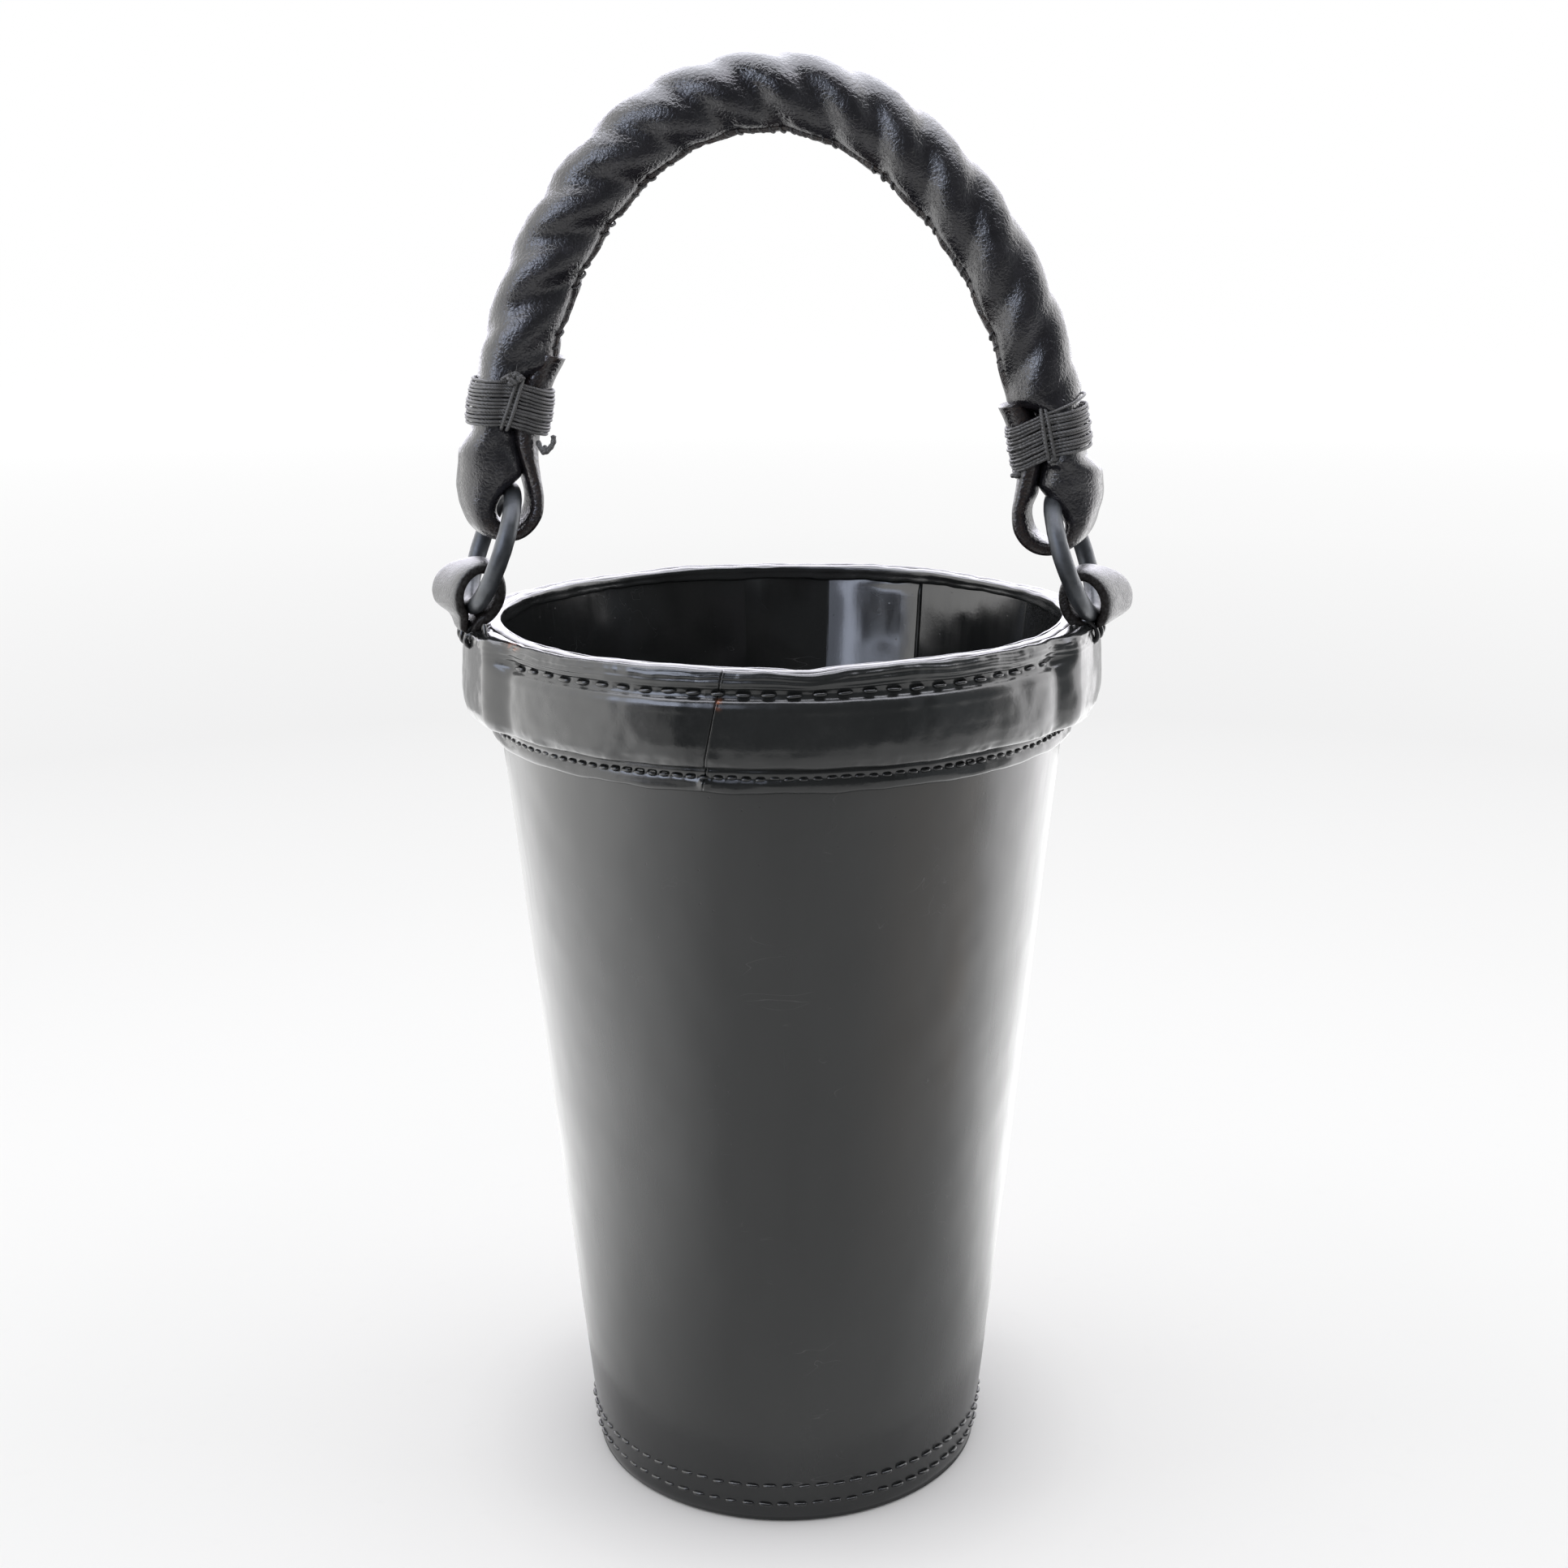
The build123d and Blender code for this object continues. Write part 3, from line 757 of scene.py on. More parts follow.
def handle_line():
    """Points, headings and path distances along the arcs."""
    point, angle, run = np.array(HANDLE_START), math.radians(HANDLE_HEADING), 0.0
    pts, heads, dist = [], [], []

    def inward(head):
        return np.array([math.sin(head), -math.cos(head)])

    for radius, turn in HANDLE_ARCS:
        full = math.radians(turn)
        centre = point + inward(angle) * radius
        for a in np.linspace(0, full, 400, endpoint=False):
            pts.append(centre - inward(angle - a) * radius)
            heads.append(angle - a)
            dist.append(run + radius * a)
        angle -= full
        point = centre - inward(angle) * radius
        run += radius * full
    return np.array(pts + [point]), np.array(heads + [angle]), np.array(dist + [run])


LINE, HEADS, DIST = handle_line()
LENGTH = float(DIST[-1])


def on_handle(d):
    """Centre, tangent and inner direction at path distance d; runs on straight past the ends."""
    x, z, h = (np.interp(d, DIST, values) for values in (LINE[:, 0], LINE[:, 1], HEADS))
    t = np.stack([np.cos(h), 0 * h, np.sin(h)], -1)
    past = d - np.clip(d, 0.0, LENGTH)
    c = np.stack([x, HANDLE_Y + 0 * x, z], -1) + t * past[..., None]
    return c, t, np.stack([t[..., 2], 0 * h, -t[..., 0]], -1)


def on_leg(side, d):
    """The same from the leg's own end, with the tangent running up the leg."""
    if side == "left":
        return on_handle(d)
    c, t, inner = on_handle(LENGTH - d)
    return c, -t, inner


WHIP_MIDDLE = {"left": 27.0, "right": 16.5}  # along the leg from its end
PINCH_END = {"left": 18.0, "right": 13.5}  # from the whipping's middle to the full handle
PINCHED_OUT, PINCHED_IN = 1.6, 9.3  # how far the pinched cover draws back, outside and inside


def pinch(side, d):
    """How far the cover is drawn in under the whipping: 1 there, 0 above it."""
    mid = WHIP_MIDDLE[side]
    return 1 - smooth(mid + 6, mid + PINCH_END[side], d)


def build_handle():
    """The cover, sunk into the lay of the three-strand rope, with its raised seam on the inner side."""
    first, last = WHIP_MIDDLE["left"] - 3.0, LENGTH - WHIP_MIDDLE["right"] + 3.0
    d = np.linspace(first, last, 760)
    c, t, inner = on_handle(d)
    rear = np.cross(t, inner)
    by_seam = (HANDLE_SEAM + np.linspace(-0.2, 0.2, 27)) % TAU
    phi = np.sort(np.concatenate([np.linspace(0, TAU, 96, endpoint=False), by_seam]))
    g = pinch("left", d) + pinch("right", LENGTH - d)
    out_r, in_r, deep = (HANDLE_RADIUS + change * g for change in (-PINCHED_OUT, -PINCHED_IN, 0.2))
    cp, sp = np.cos(phi)[None, :], np.sin(phi)[None, :]
    across = ((in_r - out_r) / 2)[:, None] + ((in_r + out_r) / 2)[:, None] * cp
    v = c[:, None] + inner[:, None] * across[..., None] + rear[:, None] * (deep[:, None] * sp)[..., None]
    radial_dir = inner[:, None] * cp[..., None] + rear[:, None] * sp[..., None]
    fade = smooth(30, 52, d) * smooth(20, 42, LENGTH - d)
    lead = 60.0 + 5.0 * np.sin(d / 31.0)  # length of one turn of the lay
    spin = TAU * np.cumsum(np.concatenate([[0], np.diff(d)]) / lead)
    u = phi[None, :] - spin[:, None] + 0.22 * noise(v, 26, 171)
    valley = (0.5 - 0.5 * np.cos(3 * u)) ** 1.35
    outside = smooth(-0.1, 0.9, -cp)
    off = ((phi[None, :] - HANDLE_SEAM + math.pi) % TAU) - math.pi
    held = 1 - 0.6 * hump(off, 0.45)
    relief = 0.35 - valley * (2.0 + 0.6 * noise(v, 34, 172)) * (1 - 0.5 * outside) * held * fade[:, None]
    relief = relief + 0.30 * fbm(v, 14, 3, 173) + 0.10 * noise(v, 3.2, 176)
    ragged = 1 + 0.45 * noise(v, 2.2, 174)
    seam_fade = smooth(40, 48, d)[:, None] * smooth(30, 38, LENGTH - d)[:, None]
    relief = relief + seam_fade * (
        0.95 * ragged * np.exp(-((off / 0.085) ** 4)) - 0.8 * hump(off, 0.022)
        - 0.7 * hump(off, 0.24)
    )
    v = v + radial_dir * relief[..., None]
    brown = np.exp(-((off / 0.13) ** 4)) * seam_fade * 0.75
    brown = brown + 0.35 * hump(off, 0.5) * (noise(v, 9, 175) > 0.1)
    ends = np.stack([v[0].mean(0), v[-1].mean(0)])
    v = np.concatenate([v.reshape(-1, 3), ends])
    parts = Parts().add(v, quads_of(len(d), len(phi)), end_fans(len(d), len(phi)))
    tint = np.concatenate([np.clip(brown, 0, 1).ravel(), [0, 0]])
    return make("handle_cover_leather", parts, HANDLE_LEATHER, "handle", ["handle_cover", "handle_core"],
                tint=tint)


def build_handle_stitches():
    """Slanting whip stitches along the seam, at uneven steps."""
    parts = Parts()
    cos, sin = math.cos(HANDLE_SEAM), math.sin(HANDLE_SEAM)
    d = 46.0
    while d < LENGTH - 36.0:
        c, t, inner = on_handle(np.array(d))
        rear = np.cross(t, inner)
        out = inner * cos + rear * sin
        side = -inner * sin + rear * cos
        lead = 0.75 + rng.uniform(-0.15, 0.15)
        centre = c + out * (11.6 + rng.uniform(-0.2, 0.2))
        stitch(parts, centre, side + t * lead, out, 3.7 * rng.uniform(0.88, 1.12), 0.48, lift=0.9)
        d += 4.1 * rng.uniform(0.93, 1.07)
    return make("handle_seam_stitching", parts, SEAM_THREAD, "handle", ["handle_seam_stitches"])


# Legs of the handle: the cover narrows, turns through the ring and comes back up as a
# tongue under the whipping. Rows: outer x, outer z, inner x, inner z, half-width, power.
LEG_ROWS = {
    "left": [
        (-102.2, 363.3, -82.6, 363.6, 11.6, 2.1), (-103.0, 358.6, -82.2, 359.5, 11.2, 2.3),
        (-103.4, 353.6, -82.9, 354.8, 10.6, 2.4), (-103.2, 348.6, -88.0, 350.2, 9.9, 2.5),
        (-102.2, 343.4, -91.4, 344.6, 9.4, 2.7), (-99.9, 338.6, -91.2, 341.8, 9.1, 3.0),
        (-96.0, 335.4, -89.8, 339.8, 8.9, 3.2), (-90.7, 333.7, -88.4, 338.4, 8.8, 3.5),
        (-85.5, 334.0, -86.2, 338.9, 8.6, 3.5), (-80.9, 336.7, -83.7, 341.0, 8.5, 3.5),
        (-77.4, 341.4, -82.0, 344.4, 8.2, 3.0), (-76.4, 347.4, -81.7, 348.9, 7.9, 2.8),
        (-76.8, 353.6, -83.0, 354.8, 7.6, 2.6), (-77.0, 359.8, -84.2, 361.0, 7.4, 2.5),
        (-76.7, 366.0, -84.8, 368.4, 7.4, 2.4), (-75.3, 372.6, -84.8, 375.6, 7.4, 2.4),
        (-73.0, 379.4, -83.2, 382.6, 7.2, 2.3), (-70.3, 385.4, -79.9, 388.4, 7.0, 2.2),
        (-67.2, 391.0, -75.2, 393.2, 7.2, 2.2),
    ],
    "right": [
        (102.4, 355.8, 82.8, 355.4, 11.3, 2.1), (103.4, 350.8, 82.8, 350.2, 10.8, 2.3),
        (103.4, 345.8, 86.6, 345.2, 10.2, 2.3), (102.2, 341.0, 91.0, 340.4, 9.7, 2.5),
        (100.3, 335.8, 92.0, 337.4, 9.3, 2.7), (97.3, 332.0, 91.6, 335.4, 8.8, 3.0),
        (93.4, 329.3, 89.6, 333.6, 8.5, 3.3), (88.4, 327.8, 87.2, 332.6, 8.4, 3.5),
        (83.4, 328.4, 84.4, 333.2, 8.6, 3.5), (79.0, 331.2, 82.0, 335.2, 8.4, 3.5),
        (75.8, 335.6, 80.8, 338.4, 8.1, 3.0), (74.9, 341.0, 80.6, 342.4, 7.8, 2.8),
        (75.4, 346.6, 82.6, 347.6, 7.5, 2.6), (75.8, 352.4, 83.4, 353.8, 7.3, 2.5),
        (75.2, 358.4, 83.6, 361.0, 7.2, 2.4), (73.9, 364.4, 82.6, 367.6, 7.2, 2.4),
        (71.6, 370.2, 80.6, 373.0, 7.0, 2.3), (69.4, 374.8, 77.2, 377.2, 7.0, 2.3),
    ],
}


def build_leg(side):
    """The leg's cover from under the whipping through the ring to the tip of its tongue."""
    mid = WHIP_MIDDLE[side]
    rows = []
    for d, g in ((mid + 2.0, 1.0), (mid - 4.0, 1.0), (mid - 8.5, 0.75)):
        c, _, inner = on_leg(side, np.array(d))
        o = c - inner * (HANDLE_RADIUS - PINCHED_OUT * g)
        i = c + inner * (HANDLE_RADIUS - PINCHED_IN * g)
        rows.append((o[0], o[2], i[0], i[2], HANDLE_RADIUS + 0.1 * g, 2.0))
    rows += LEG_ROWS[side]
    n, m = 210, 56
    outer_x, outer_z, inner_x, inner_z, width, power = curve(rows, n).T
    # Low down the section turns to face along the ring's axis.
    low = min(row[1] for row in rows)
    share = 1 - smooth(low + 18, low + 34, (outer_z + inner_z) / 2)[:, None]
    along = unit(ring_axes(side)[0] * share + np.array([0, -1.0, 0]) * (1 - share))
    y = np.full(n, HANDLE_Y)
    outer = np.stack([outer_x, y, outer_z], -1)
    inner = np.stack([inner_x, y, inner_z], -1)
    seed = {"left": 201, "right": 211}[side]
    v, q, t, _ = sweep(outer, inner, along, width, power, m, 0.22, seed, (0.5, 2.6))
    # The strap's cut edge is brown; the tube part is not.
    edge = np.abs(np.sin(np.arange(m) * TAU / m))[None, :] ** 8
    station = np.linspace(0, 1, n)[:, None]
    tint = edge * smooth(0.30, 0.42, station) * 0.8 + 0.3 * smooth(0.975, 0.995, station)
    tint = np.concatenate([tint.clip(0, 1).ravel(), np.full(len(v) - n * m, 0.35)])
    obj = make(side + "_leg_leather", Parts().add(v, q, t), HANDLE_LEATHER, None,
               [side + "_end_loop", side + "_end_strap"], tint=tint)
    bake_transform(obj)


def whip_outline():
    """One turn round the two lobes, tube and tongue: distance inward from the leg's line, and depth."""
    n = 120
    a = np.concatenate([np.linspace(-12.1, -10.6, 14), np.linspace(-10.6, 12.2, 60)[1:],
                        np.linspace(12.2, 13.6, 12)[1:]])
    one = 12.9 * np.sqrt(np.clip(1 - ((a + 4.4) / 7.7) ** 2, 0, None))
    two = 8.8 * np.sqrt(np.clip(1 - ((a - 7.9) / 5.7) ** 2, 0, None))
    bridge = np.where((a > -2) & (a < 8), 11.3 - 0.25 * (a - 2.2), 0)
    depth = np.maximum(np.maximum(one, two), bridge * smooth(-3.5, 0.5, a) * (1 - smooth(6.5, 9.5, a)))
    front = np.stack([a, -depth], -1)
    back = np.stack([a[::-1], depth[::-1]], -1)
    loop = np.concatenate([front, back])
    step = np.sqrt(((np.roll(loop, -1, 0) - loop) ** 2).sum(1))
    run = np.concatenate([[0], np.cumsum(step)])
    x = np.linspace(0, run[-1], n, endpoint=False)
    closed = np.concatenate([loop, loop[:1]])
    out = np.stack([np.interp(x, run, column) for column in closed.T], -1)
    for _ in range(3):
        out = (np.roll(out, 1, 0) + 2 * out + np.roll(out, -1, 0)) / 4
    return out


def tangle(parts, centre, size, turns, seed, radius, sides=7):
    """A loose knot: a closed thread that wanders inside a small ball."""
    local = np.random.RandomState(seed)
    u = np.linspace(0, TAU, 90, endpoint=False)[:, None]
    p = 0.0
    for k in range(2, 2 + turns):
        reach, phase = local.uniform(0.5, 1.0, 3) / k**0.35, local.uniform(0, TAU, 3)
        p = p + reach * np.sin(k * u + phase)
    parts.add(*tube(p / np.abs(p).max() * np.array(size) + centre, radius, sides, closed=True))


def thread(parts, control, n, radius, sides=8):
    """A short open thread through control points."""
    parts.add(*tube(curve(control, n), radius, sides))


def build_whipping(side):
    """Turns of thread that bind tube and tongue, two cinching turns, and loose ends."""
    parts = Parts()
    c, t, inner = on_leg(side, np.array(WHIP_MIDDLE[side]))
    rear = np.array([0, 1.0, 0])
    a, depth = whip_outline().T

    def at(x, y, along):
        """Points x inward, y to the rear and along the leg from the middle of the whipping."""
        return c + inner * x[:, None] + rear * y[:, None] + t * along[:, None]

    # The turns climb over the tube and fall over the tongue. Shift of the coil, slopes of both, and
    # shift and slope of the cinching turns.
    base, climb, fall, cinch_base, cinch_slope, seed = {
        "left": (0.1, 0.15, 0.17, 1.9, 0.12, 300),
        "right": (1.6, -0.05, 0.34, -0.76, -0.03, 330),
    }[side]
    rise = np.where(a < 2, climb * (a + 12.1), climb * 14.1 - fall * (a - 2))
    turns, pitch = 13, 1.12
    for k in range(turns):
        local = np.random.RandomState(seed + k)
        wobble = 0.16 * np.sin(np.arange(len(a)) * TAU / len(a) * 2 + local.uniform(0, TAU))
        grow = local.uniform(-0.25, 0.25) + 0.35 * math.sin(math.pi * (k + 0.5) / turns)
        along = base + (k - (turns - 1) / 2) * pitch + rise + wobble
        if side == "right" and k == turns - 1:
            along = along - 0.18 * np.minimum(a, 0)
        scale = 1 + grow / 11.0
        p = at((a - 1.5) * scale + 1.5, depth * scale, along)
        parts.add(*tube(p, 0.53 + local.uniform(-0.06, 0.04), 8, closed=True))
    # Two cinching turns, front and back, that draw the coil in between the lobes.
    waist = 2.2
    u = np.linspace(0, TAU, 60, endpoint=False)
    half = turns * pitch / 2 + 0.9
    along = half * np.sign(np.sin(u)) * np.abs(np.sin(u)) ** 0.8 + base + cinch_base
    for j, shift in enumerate((-0.75, 0.75)):
        x = waist + shift + 0.55 * np.sin(u + j) + cinch_slope * along
        for sign in (-1, 1):
            parts.add(*tube(at(x, sign * (10.6 + 1.7 * np.cos(u)), along), 0.62, 8, closed=True))
    front = c + inner * (waist - 0.6) - rear * 12.2
    if side == "left":
        # A frayed knot on top, and a tail below that curls inward.
        knot = front + t * (turns * pitch / 2 + 2.6)
        tangle(parts, knot, (3.4, 1.5, 2.2), 4, 5, 0.6)
        tangle(parts, knot + inner * 1.5 + t * 0.8, (2.2, 1.3, 1.5), 3, 8, 0.5)
        for i in range(26):
            local = np.random.RandomState(400 + i)
            go = unit(local.normal(size=3) * np.array([1.0, 0.6, 0.9]) - rear * 0.5 + t * 0.3)
            bend = unit(local.normal(size=3))
            s = np.linspace(0, 1, 8)[:, None]
            start = knot + local.normal(size=3) * np.array([1.3, 0.5, 0.6])
            hair = start + go * s * local.uniform(2.0, 4.4) + bend * s**2 * local.uniform(0.5, 2.0)
            parts.add(*tube(hair, 0.13 * (1 - 0.6 * s[:, 0]), 5))
        tail = c + inner * 11.6 - rear * 5.5 - t * 8.6
        bends = ((0, 0, 0), (1.6, -1.0, -2.0), (3.0, -1.3, -2.6), (4.2, -1.0, -1.2), (4.9, -0.6, 0.8),
                 (4.6, -0.4, 2.6))
        thread(parts, [tail + inner * x + rear * y + t * z for x, y, z in bends], 36,
               0.78 + 0.16 * np.sin(np.linspace(0, 17, 36)) ** 2)
        tangle(parts, tail + inner * 2.4 - rear * 1.2 - t * 2.3, (1.3, 1.0, 1.1), 3, 21, 0.6)
    else:
        tangle(parts, front + rear * 0.8 + t * (-turns * pitch / 2 + 0.4), (1.4, 0.9, 1.2), 3, 15, 0.5)
        nub = c + inner * 13.0 - rear * 4.5 - t * 10.2
        tangle(parts, nub, (1.3, 1.2, 1.3), 3, 31, 0.85, 8)
        bends = [nub - inner * 2.6 + t * 1.2, nub - inner * 1.0, nub + inner * 0.6 - t * 0.8]
        thread(parts, bends, 12, 0.7, 7)
    return make(side + "_whipping_thread", parts, WHIP_THREAD, "handle", [side + "_whipping"])


# ---- tabs --------------------------------------------------------------------
def build_tab(side):
    """The strap that holds a ring: up out of the band, over the wire and down again inside."""
    along, up, normal = ring_axes(side)
    centre = RING_CENTRE[side] - up * TAB_DROP
    az = TAB_AZIMUTH[side]

    def local(x, z):
        return centre + normal * x + up * z

    # Middle line: an oval, a little narrower below, on two feet under the band.
    oval = []
    for a in np.radians(np.linspace(236, -56, 19)):
        narrow = 1 - 0.10 * max(0.0, -math.sin(a))
        oval.append(local(6.5 * narrow * math.cos(a), 9.0 * math.sin(a)))
    n, m = 170, 48
    line = curve([spot(az, 104.9, 297.0), local(-1.9, -11.6), *oval,
                  local(1.9, -11.6), spot(az, 101.3, 297.0)], n)
    flow = unit(np.gradient(line, axis=0))
    across = unit(np.cross(flow, along))
    station = np.linspace(0, 1, n)
    body = smooth(0.12, 0.24, station) * (1 - smooth(0.78, 0.90, station))
    thick = 1.7 + 0.45 * body
    width = 6.6 + 1.9 * body
    face = across * thick[:, None]
    seed = {"left": 501, "right": 511}[side]
    v, q, t, grid = sweep(line + face, line - face, np.broadcast_to(along, line.shape), width,
                          np.full(n, 3.6), m, 0.2, seed, (0.3, 0.3))
    # Its outer limb flares towards the rear, outward and down, but not down at the band.
    rel = v - centre
    back = np.clip(-(rel @ along) / 8.6, -1, 1.1)
    flare = (back + 1) / 2 * smooth(-1.0, -8.5, rel @ normal)
    flare = flare * smooth(-14, -5, rel @ up) * smooth(301.5, 305.5, v[:, 2])
    v = v - flare[:, None] * (normal * 5.2 + up * 2.2 + along * 1.6)
    reach = np.hypot(v[:, 0], v[:, 1])
    limit = 105.8 + 2.4 * np.maximum(0, v[:, 2] - 304.0)
    v[:, :2] *= np.minimum(1.0, limit / reach)[:, None]
    # The outer face is rubbed pale; the edges and the inside are black.
    outward = across * np.sign(((line - centre) * across).sum(-1))[:, None]
    facing = ((grid - line[:, None]) * outward[:, None]).sum(-1) / thick[:, None]
    pale = smooth(0.45, 0.75, facing) * smooth(3.0, -3.0, (grid - centre) @ normal)
    tint = np.concatenate([(1 - pale).ravel(), np.ones(len(v) - n * m)])
    return make(side + "_tab_leather", Parts().add(v, q, t), TAB_LEATHER, "bucket", [side + "_tab"],
                tint=tint)


def build_tab_stitches(side):
    """Painted-over knots, cords and torn lips at the foot of the tab."""
    parts = Parts()
    az = TAB_AZIMUTH[side]
    front, seed = {"left": (1.0, 600), "right": (-1.0, 640)}[side]
    local = np.random.RandomState(seed)
    for off in (-4.2, 0.0, 4.2):
        out = radial(az + off)
        tang = sideways(out)
        c = spot(az + off, 106.0, 303.5)
        bends = [c + out * 0.6 - UP * 3.6, c + out * 1.7 + tang * 0.4 - UP * 2.6, c + out * 1.3 + UP * 1.3,
                 c - out * 1.6 - tang * 0.5 + UP * 3.4, c - out * 3.6 + UP * 3.2]
        thread(parts, bends, 26, 0.85 + 0.12 * np.sin(np.linspace(0, 9, 26)))
    for k in range(5):
        angle = az + front * local.uniform(3.0, 9.5)
        c = spot(angle, local.uniform(101.5, 106.5), local.uniform(303.6, 305.2))
        tangle(parts, c, (2.0, 1.7, 1.1), 3, seed + k, 0.6)
    # Two cords wound round the foot of the tab where it leaves the band.
    u = np.linspace(0, TAU, 50, endpoint=False)[:, None]
    out = radial(az)
    for k, height in enumerate((305.3, 306.3)):
        p = spot(az, 102.6, height) + out * 3.4 * np.cos(u) + sideways(out) * 7.4 * np.sin(u)
        p = p + UP * (0.5 * np.sin(3 * u + k) + 0.4 * np.cos(u))
        parts.add(*tube(p, 0.8 + 0.1 * np.sin(5 * u[:, 0]), 8, closed=True))
    if side == "left":
        # A standing loop of thread at the front and a nub that points outward.
        out = radial(az + 8.0)
        tang = sideways(out)
        c = spot(az + 8.0, 103.4, 304.0)
        bends = [c - tang * 1.2 - out, c - tang * 0.9 + UP * 2.6, c + UP * 4.2, c + tang * 1.1 + UP * 2.2,
                 c + tang * 1.6 - UP * 1.0]
        thread(parts, bends, 24, 0.62)
        out = radial(az + 2.0)
        c = spot(az + 2.0, 105.8, 306.6)
        thread(parts, [c - out * 2, c + out * 0.6, c + out * 2.6 + UP * 0.9], 12, 0.8)
    return make(side + "_tab_stitching", parts, STITCH_PAINT, "bucket", [side + "_tab_stitches"])


build_wall()
build_band()
build_lining()
build_base()
build_seam()
stitch_ring("rim_stitching", "rim_stitches", 101.65, RIM_ROW, RIM_STITCHES, 4.2, 0.6, gap=18.5, wave=0.35)
stitch_ring("band_stitching", "band_stitches", 98.4, BAND_ROW, BAND_STITCHES, 3.0, 0.5)
for level, height, count in (("lower", 7.5, 73), ("upper", 14.7, 74)):
    stitch_ring("base_stitching_" + level, "base_stitches_" + level, wall_radius(height) + 0.1, height, count,
                4.4, 0.68)
build_handle()
build_handle_stitches()
for side in SIDES:
    build_ring(side)
    build_tab(side)
    build_tab_stitches(side)
    build_leg(side)
    build_whipping(side)


# ---- floor, light, camera ----------------------------------------------------
def add_stage(name, me, m):
    """Puts a mesh of the studio, which is no part of the object, into the scene."""
    me.materials.append(m)
    o = bpy.data.objects.new(name, me)
    bpy.context.scene.collection.objects.link(o)
    return o


def place_of(nt):
    """The place on a stage piece in metres, and its distance from the origin."""
    place = node(nt, "TexCoord", {}).outputs["Object"]
    far = node(nt, "VectorMath", {0: place}, operation="LENGTH")
    return place, far.outputs["Value"]


def build_floor():
    """A flat pale floor with a painted contact shadow at the bucket's base, painted light just beyond it, and
    a gentle tone change further out; fine cells where the bucket stands.
    """
    me = bpy.data.meshes.new("floor")
    xs = (-60, -9, -3, -1, 1, 3, 9, 60)
    ys = (-6, -1, 1, 3, 9, 60)
    faces = quads_of(len(ys), len(xs), wrap_cols=False)
    me.from_pydata([(x, y, -0.0002) for y in ys for x in xs], [], faces.tolist())
    m = bpy.data.materials.new("pale_floor")
    m.use_nodes = True
    nt = m.node_tree
    s = nt.nodes["Principled BSDF"]
    s.inputs["Roughness"].default_value = 0.75
    s.inputs["Specular IOR Level"].default_value = 0.0
    place, far = place_of(nt)
    # Painted shade and light: darker out to about 7 cm from the middle as a painted contact shadow, painted
    # lighter at about 12 cm, then the tone changes gently with distance.
    tones_with_painted_shadow = [(0.017, (0.78, 0.775, 0.785)), (0.029, (0.93, 0.925, 0.93)), (0.07, (0.875, 0.875, 0.878)),
             (0.17, (0.82, 0.82, 0.822)), (0.3, (0.78, 0.78, 0.782)), (0.6, 0.90), (1.0, 0.999)]
    colour = ramp(nt, span(nt, far, 0.0, 4.0, 0.0, 1.0), tones_with_painted_shadow)
    specks = ramp(nt, noise_node(nt, place, 0.01, 3, 0.6), [(0.62, 0.0), (0.8, 0.06)])
    nt.links.new(mix(nt, specks, colour, (0.7, 0.7, 0.7)), s.inputs["Base Color"])
    add_stage("floor", me, m)


def glowing(name):
    """A material that only glows, with its tree and its emission node."""
    m = bpy.data.materials.new(name)
    m.use_nodes = True
    nt = m.node_tree
    nt.nodes.clear()
    glow = node(nt, "Emission", {})
    node(nt, "OutputMaterial", {"Surface": glow.outputs["Emission"]})
    return m, nt, glow


def add_reflection(name, me, m):
    """A stage piece that only reflections see: it neither lights the floor nor shows."""
    o = add_stage(name, me, m)
    o.visible_camera = False
    o.visible_diffuse = False
    o.visible_shadow = False
    o.visible_transmission = False


def glossy_card(name, corners, colour, strength):
    me = bpy.data.meshes.new(name)
    me.from_pydata(corners, [], [(0, 1, 2, 3)])
    m, nt, glow = glowing(name)
    glow.inputs["Color"].default_value = (*colour, 1.0)
    glow.inputs["Strength"].default_value = strength
    add_reflection(name, me, m)


def glossy_floor():
    """The bright floor beyond the frame, as reflections see it: stronger at the sides."""
    me = bpy.data.meshes.new("bright_floor")
    n = 72
    radii = (0.105, 0.2, 0.3, 0.6, 1.0)
    v = [(r * math.cos(a), r * math.sin(a), 0.0004) for r in radii for a in np.arange(n) * TAU / n]
    me.from_pydata(v, [], quads_of(len(radii), n).tolist())
    m, nt, glow = glowing("bright_floor")
    place, far = place_of(nt)
    part = node(nt, "SeparateXYZ", {"Vector": place})
    # 0 at the front, 0.5 at the back, turning by the left.
    x, y = (math_node(nt, "MULTIPLY", part.outputs[axis], -1.0) for axis in "XY")
    turn = math_node(nt, "DIVIDE", math_node(nt, "ARCTAN2", x, y), TAU)
    turn = math_node(nt, "FRACT", math_node(nt, "ADD", turn, 1.0))
    brightest = 4.0
    levels = [(0, 0.95), (25, 1.1), (44, 1.8), (66, 2.5), (90, 3.2), (121, 3.2), (150, 2.0), (180, 1.5),
              (210, 2.6), (232, 3.7), (258, 3.4), (268, 2.5), (286, 1.5), (308, 1.2), (335, 1.0),
              (359.9, 0.95)]
    level = ramp(nt, turn, [(degrees / 360.0, tone / brightest) for degrees, tone in levels])
    # Near the base the bucket shades the floor.
    share = span(nt, far, 0.095, 0.27, 0.0, 1.0)
    nt.links.new(mix(nt, share, (0.25, 0.25, 0.25), level), glow.inputs["Color"])
    glow.inputs["Strength"].default_value = brightest
    add_reflection("bright_floor", me, m)


def soft_lamp(name, place, size, power):
    data = bpy.data.lights.new(name, "AREA")
    data.shape = "SQUARE"
    data.size = size
    data.energy = power
    o = bpy.data.objects.new(name, data)
    o.location = place
    o.rotation_euler = (Vector((0, 0, 0.1)) - Vector(place)).to_track_quat("-Z", "Y").to_euler()
    o.visible_camera = False
    o.visible_glossy = False
    bpy.context.scene.collection.objects.link(o)


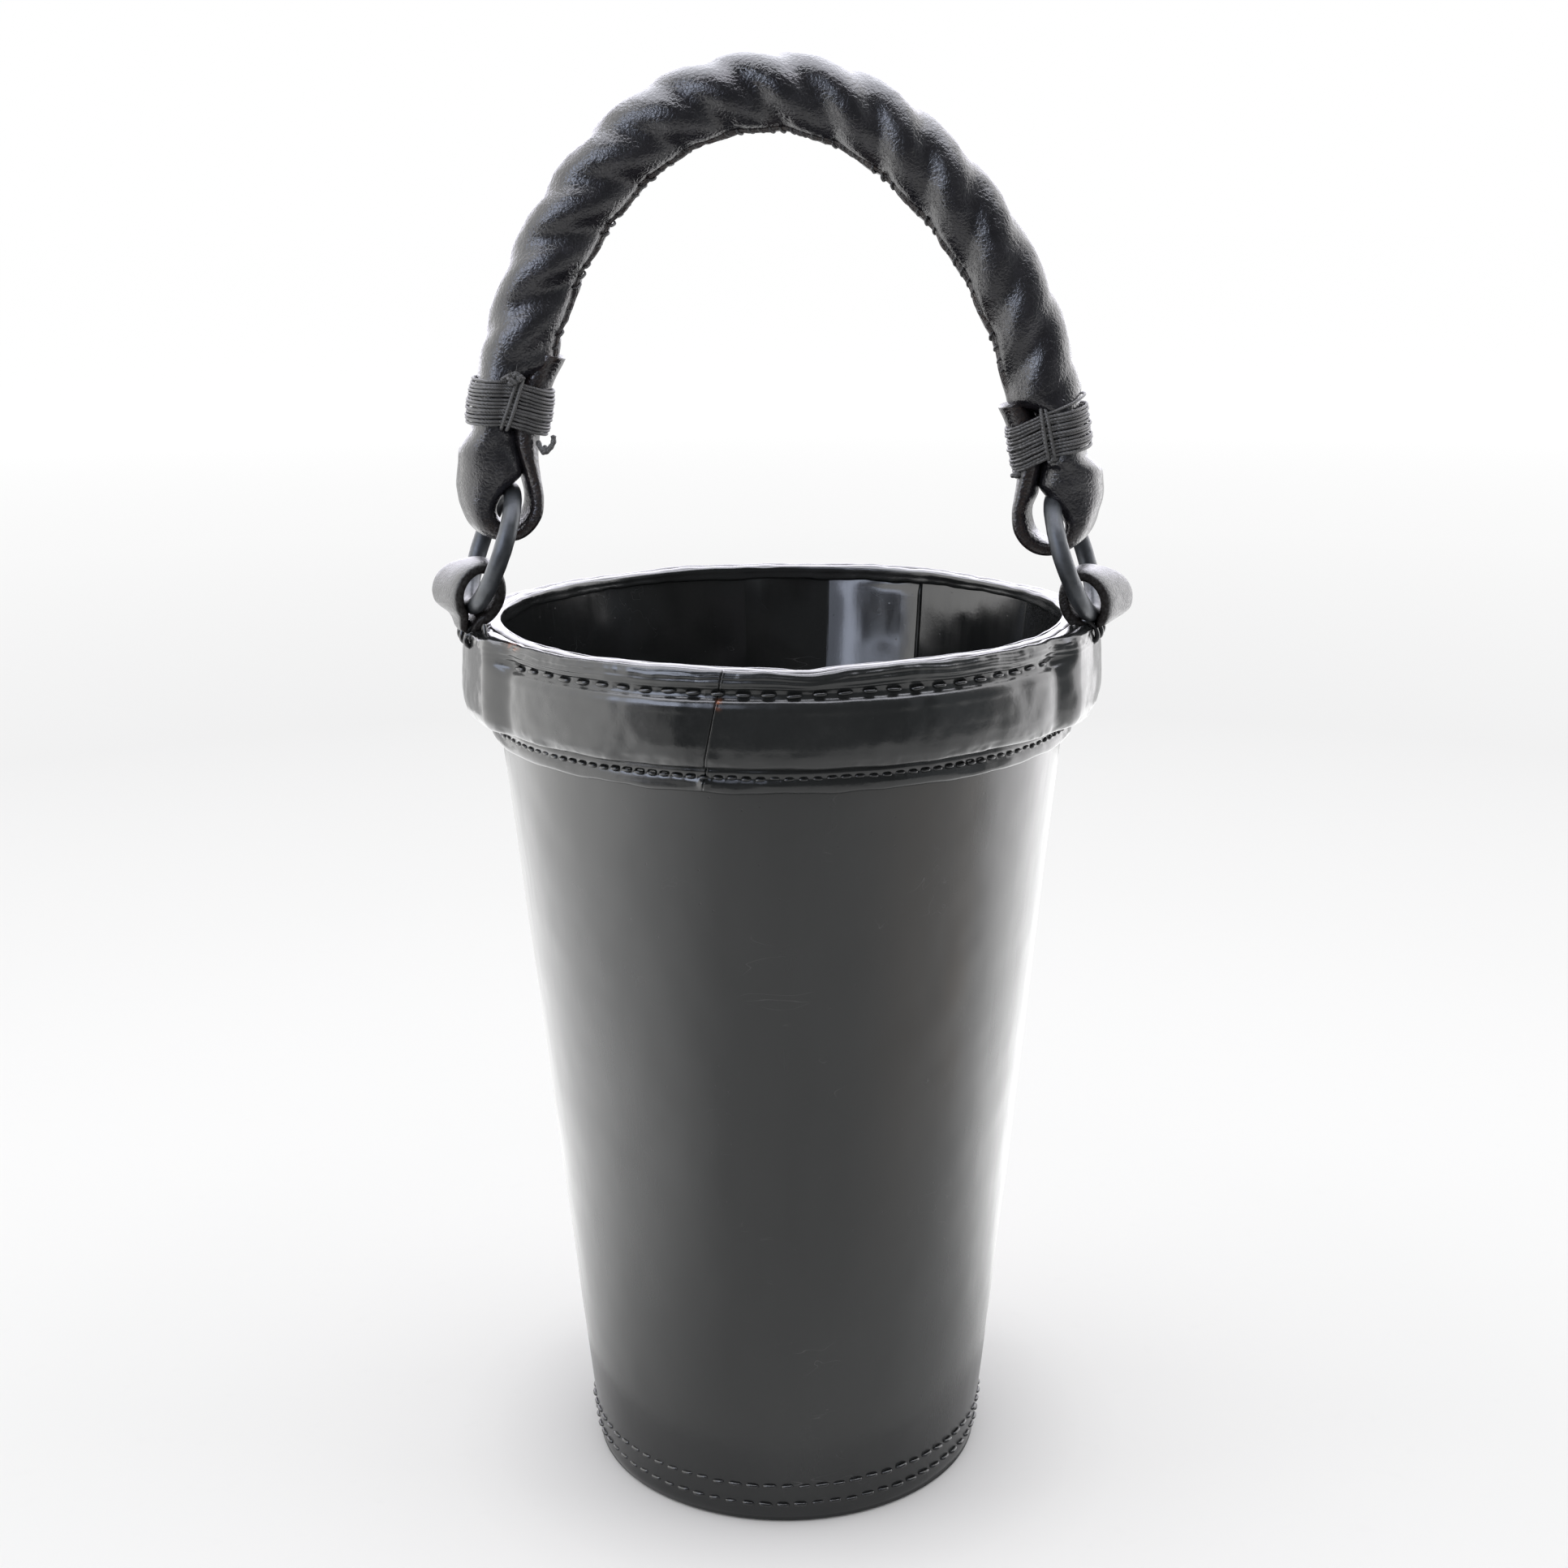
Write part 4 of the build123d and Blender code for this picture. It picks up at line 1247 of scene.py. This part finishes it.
def upright(y0, x0, y1, x1, low, high):
    """Corners of a standing card between two places on the floor."""
    return [(x0, y0, low), (x1, y1, low), (x1, y1, high), (x0, y0, high)]


build_floor()
world = bpy.data.worlds.new("studio")
world.use_nodes = True
background = world.node_tree.nodes["Background"]
background.inputs["Color"].default_value = (1.0, 1.0, 1.0, 1.0)
background.inputs["Strength"].default_value = 1.0
bpy.context.scene.world = world

# Cards round the object: name, corners, colour, strength.
COOL, WINDOW_LIGHT = (0.9, 0.95, 1.0), (0.82, 0.90, 1.10)
CARDS = [
    ("dark_front", upright(-0.85, -0.62, -0.85, 0.95, -0.02, 2.2), COOL, 0.17),
    ("dark_front_right", upright(-0.85, 0.95, -0.2, 1.15, -0.02, 2.2), COOL, 0.45),
    ("dark_left_front", upright(-0.85, -0.62, -0.62, -0.80, 0.28, 0.37), COOL, 0.2),
    ("lamp_left_front", upright(-0.62, -0.80, -0.42, -0.74, 0.28, 1.1), (0.92, 0.94, 1.08), 4.5),
    ("bright_back", upright(1.15, -1.3, 1.15, 1.3, 0.36, 1.5), (0.97, 0.955, 1.05), 4.5),
    ("bright_left", upright(-0.45, -0.62, 0.50, -0.66, 0.0, 1.2), (1.0, 0.995, 0.985), 3.2),
    ("bright_right", upright(-0.03, 0.60, 0.62, 0.56, 0.0, 1.2), (1.0, 0.99, 1.0), 4.0),
    ("window", upright(-0.64, -0.38, -0.15, -0.78, 0.50, 0.88), WINDOW_LIGHT, 7.5),
    ("window_dim", upright(-0.72, -0.14, -0.645, -0.375, 0.50, 0.88), WINDOW_LIGHT, 1.9),
    ("ceiling", [(-0.9, -0.6, 1.6), (1.3, -0.6, 1.6), (1.3, 1.9, 1.6), (-0.9, 1.9, 1.6)],
     (0.96, 0.97, 1.05), 7.0),
]
for name, corners, colour, strength in CARDS:
    glossy_card(name, corners, colour, strength)
glossy_floor()
soft_lamp("lamp_left", (-1.7, 0.0, 1.8), 1.6, 8.0)
soft_lamp("lamp_right", (1.7, 0.0, 1.8), 1.6, 8.0)

cam_data = bpy.data.cameras.new("camera")
cam_data.sensor_width = 36.0
cam_data.lens = 48.796
cam_data.clip_start = 0.02
cam_data.clip_end = 60.0
cam = bpy.data.objects.new("camera", cam_data)
turn = Matrix.Rotation(math.radians(75.19), 4, "X") @ Matrix.Rotation(math.radians(-0.4), 4, "Z")
cam.matrix_world = Matrix.Translation((0.00056, -0.7108, 0.43197)) @ turn
bpy.context.scene.collection.objects.link(cam)
bpy.context.scene.camera = cam
bpy.context.scene.view_settings.view_transform = "Standard"
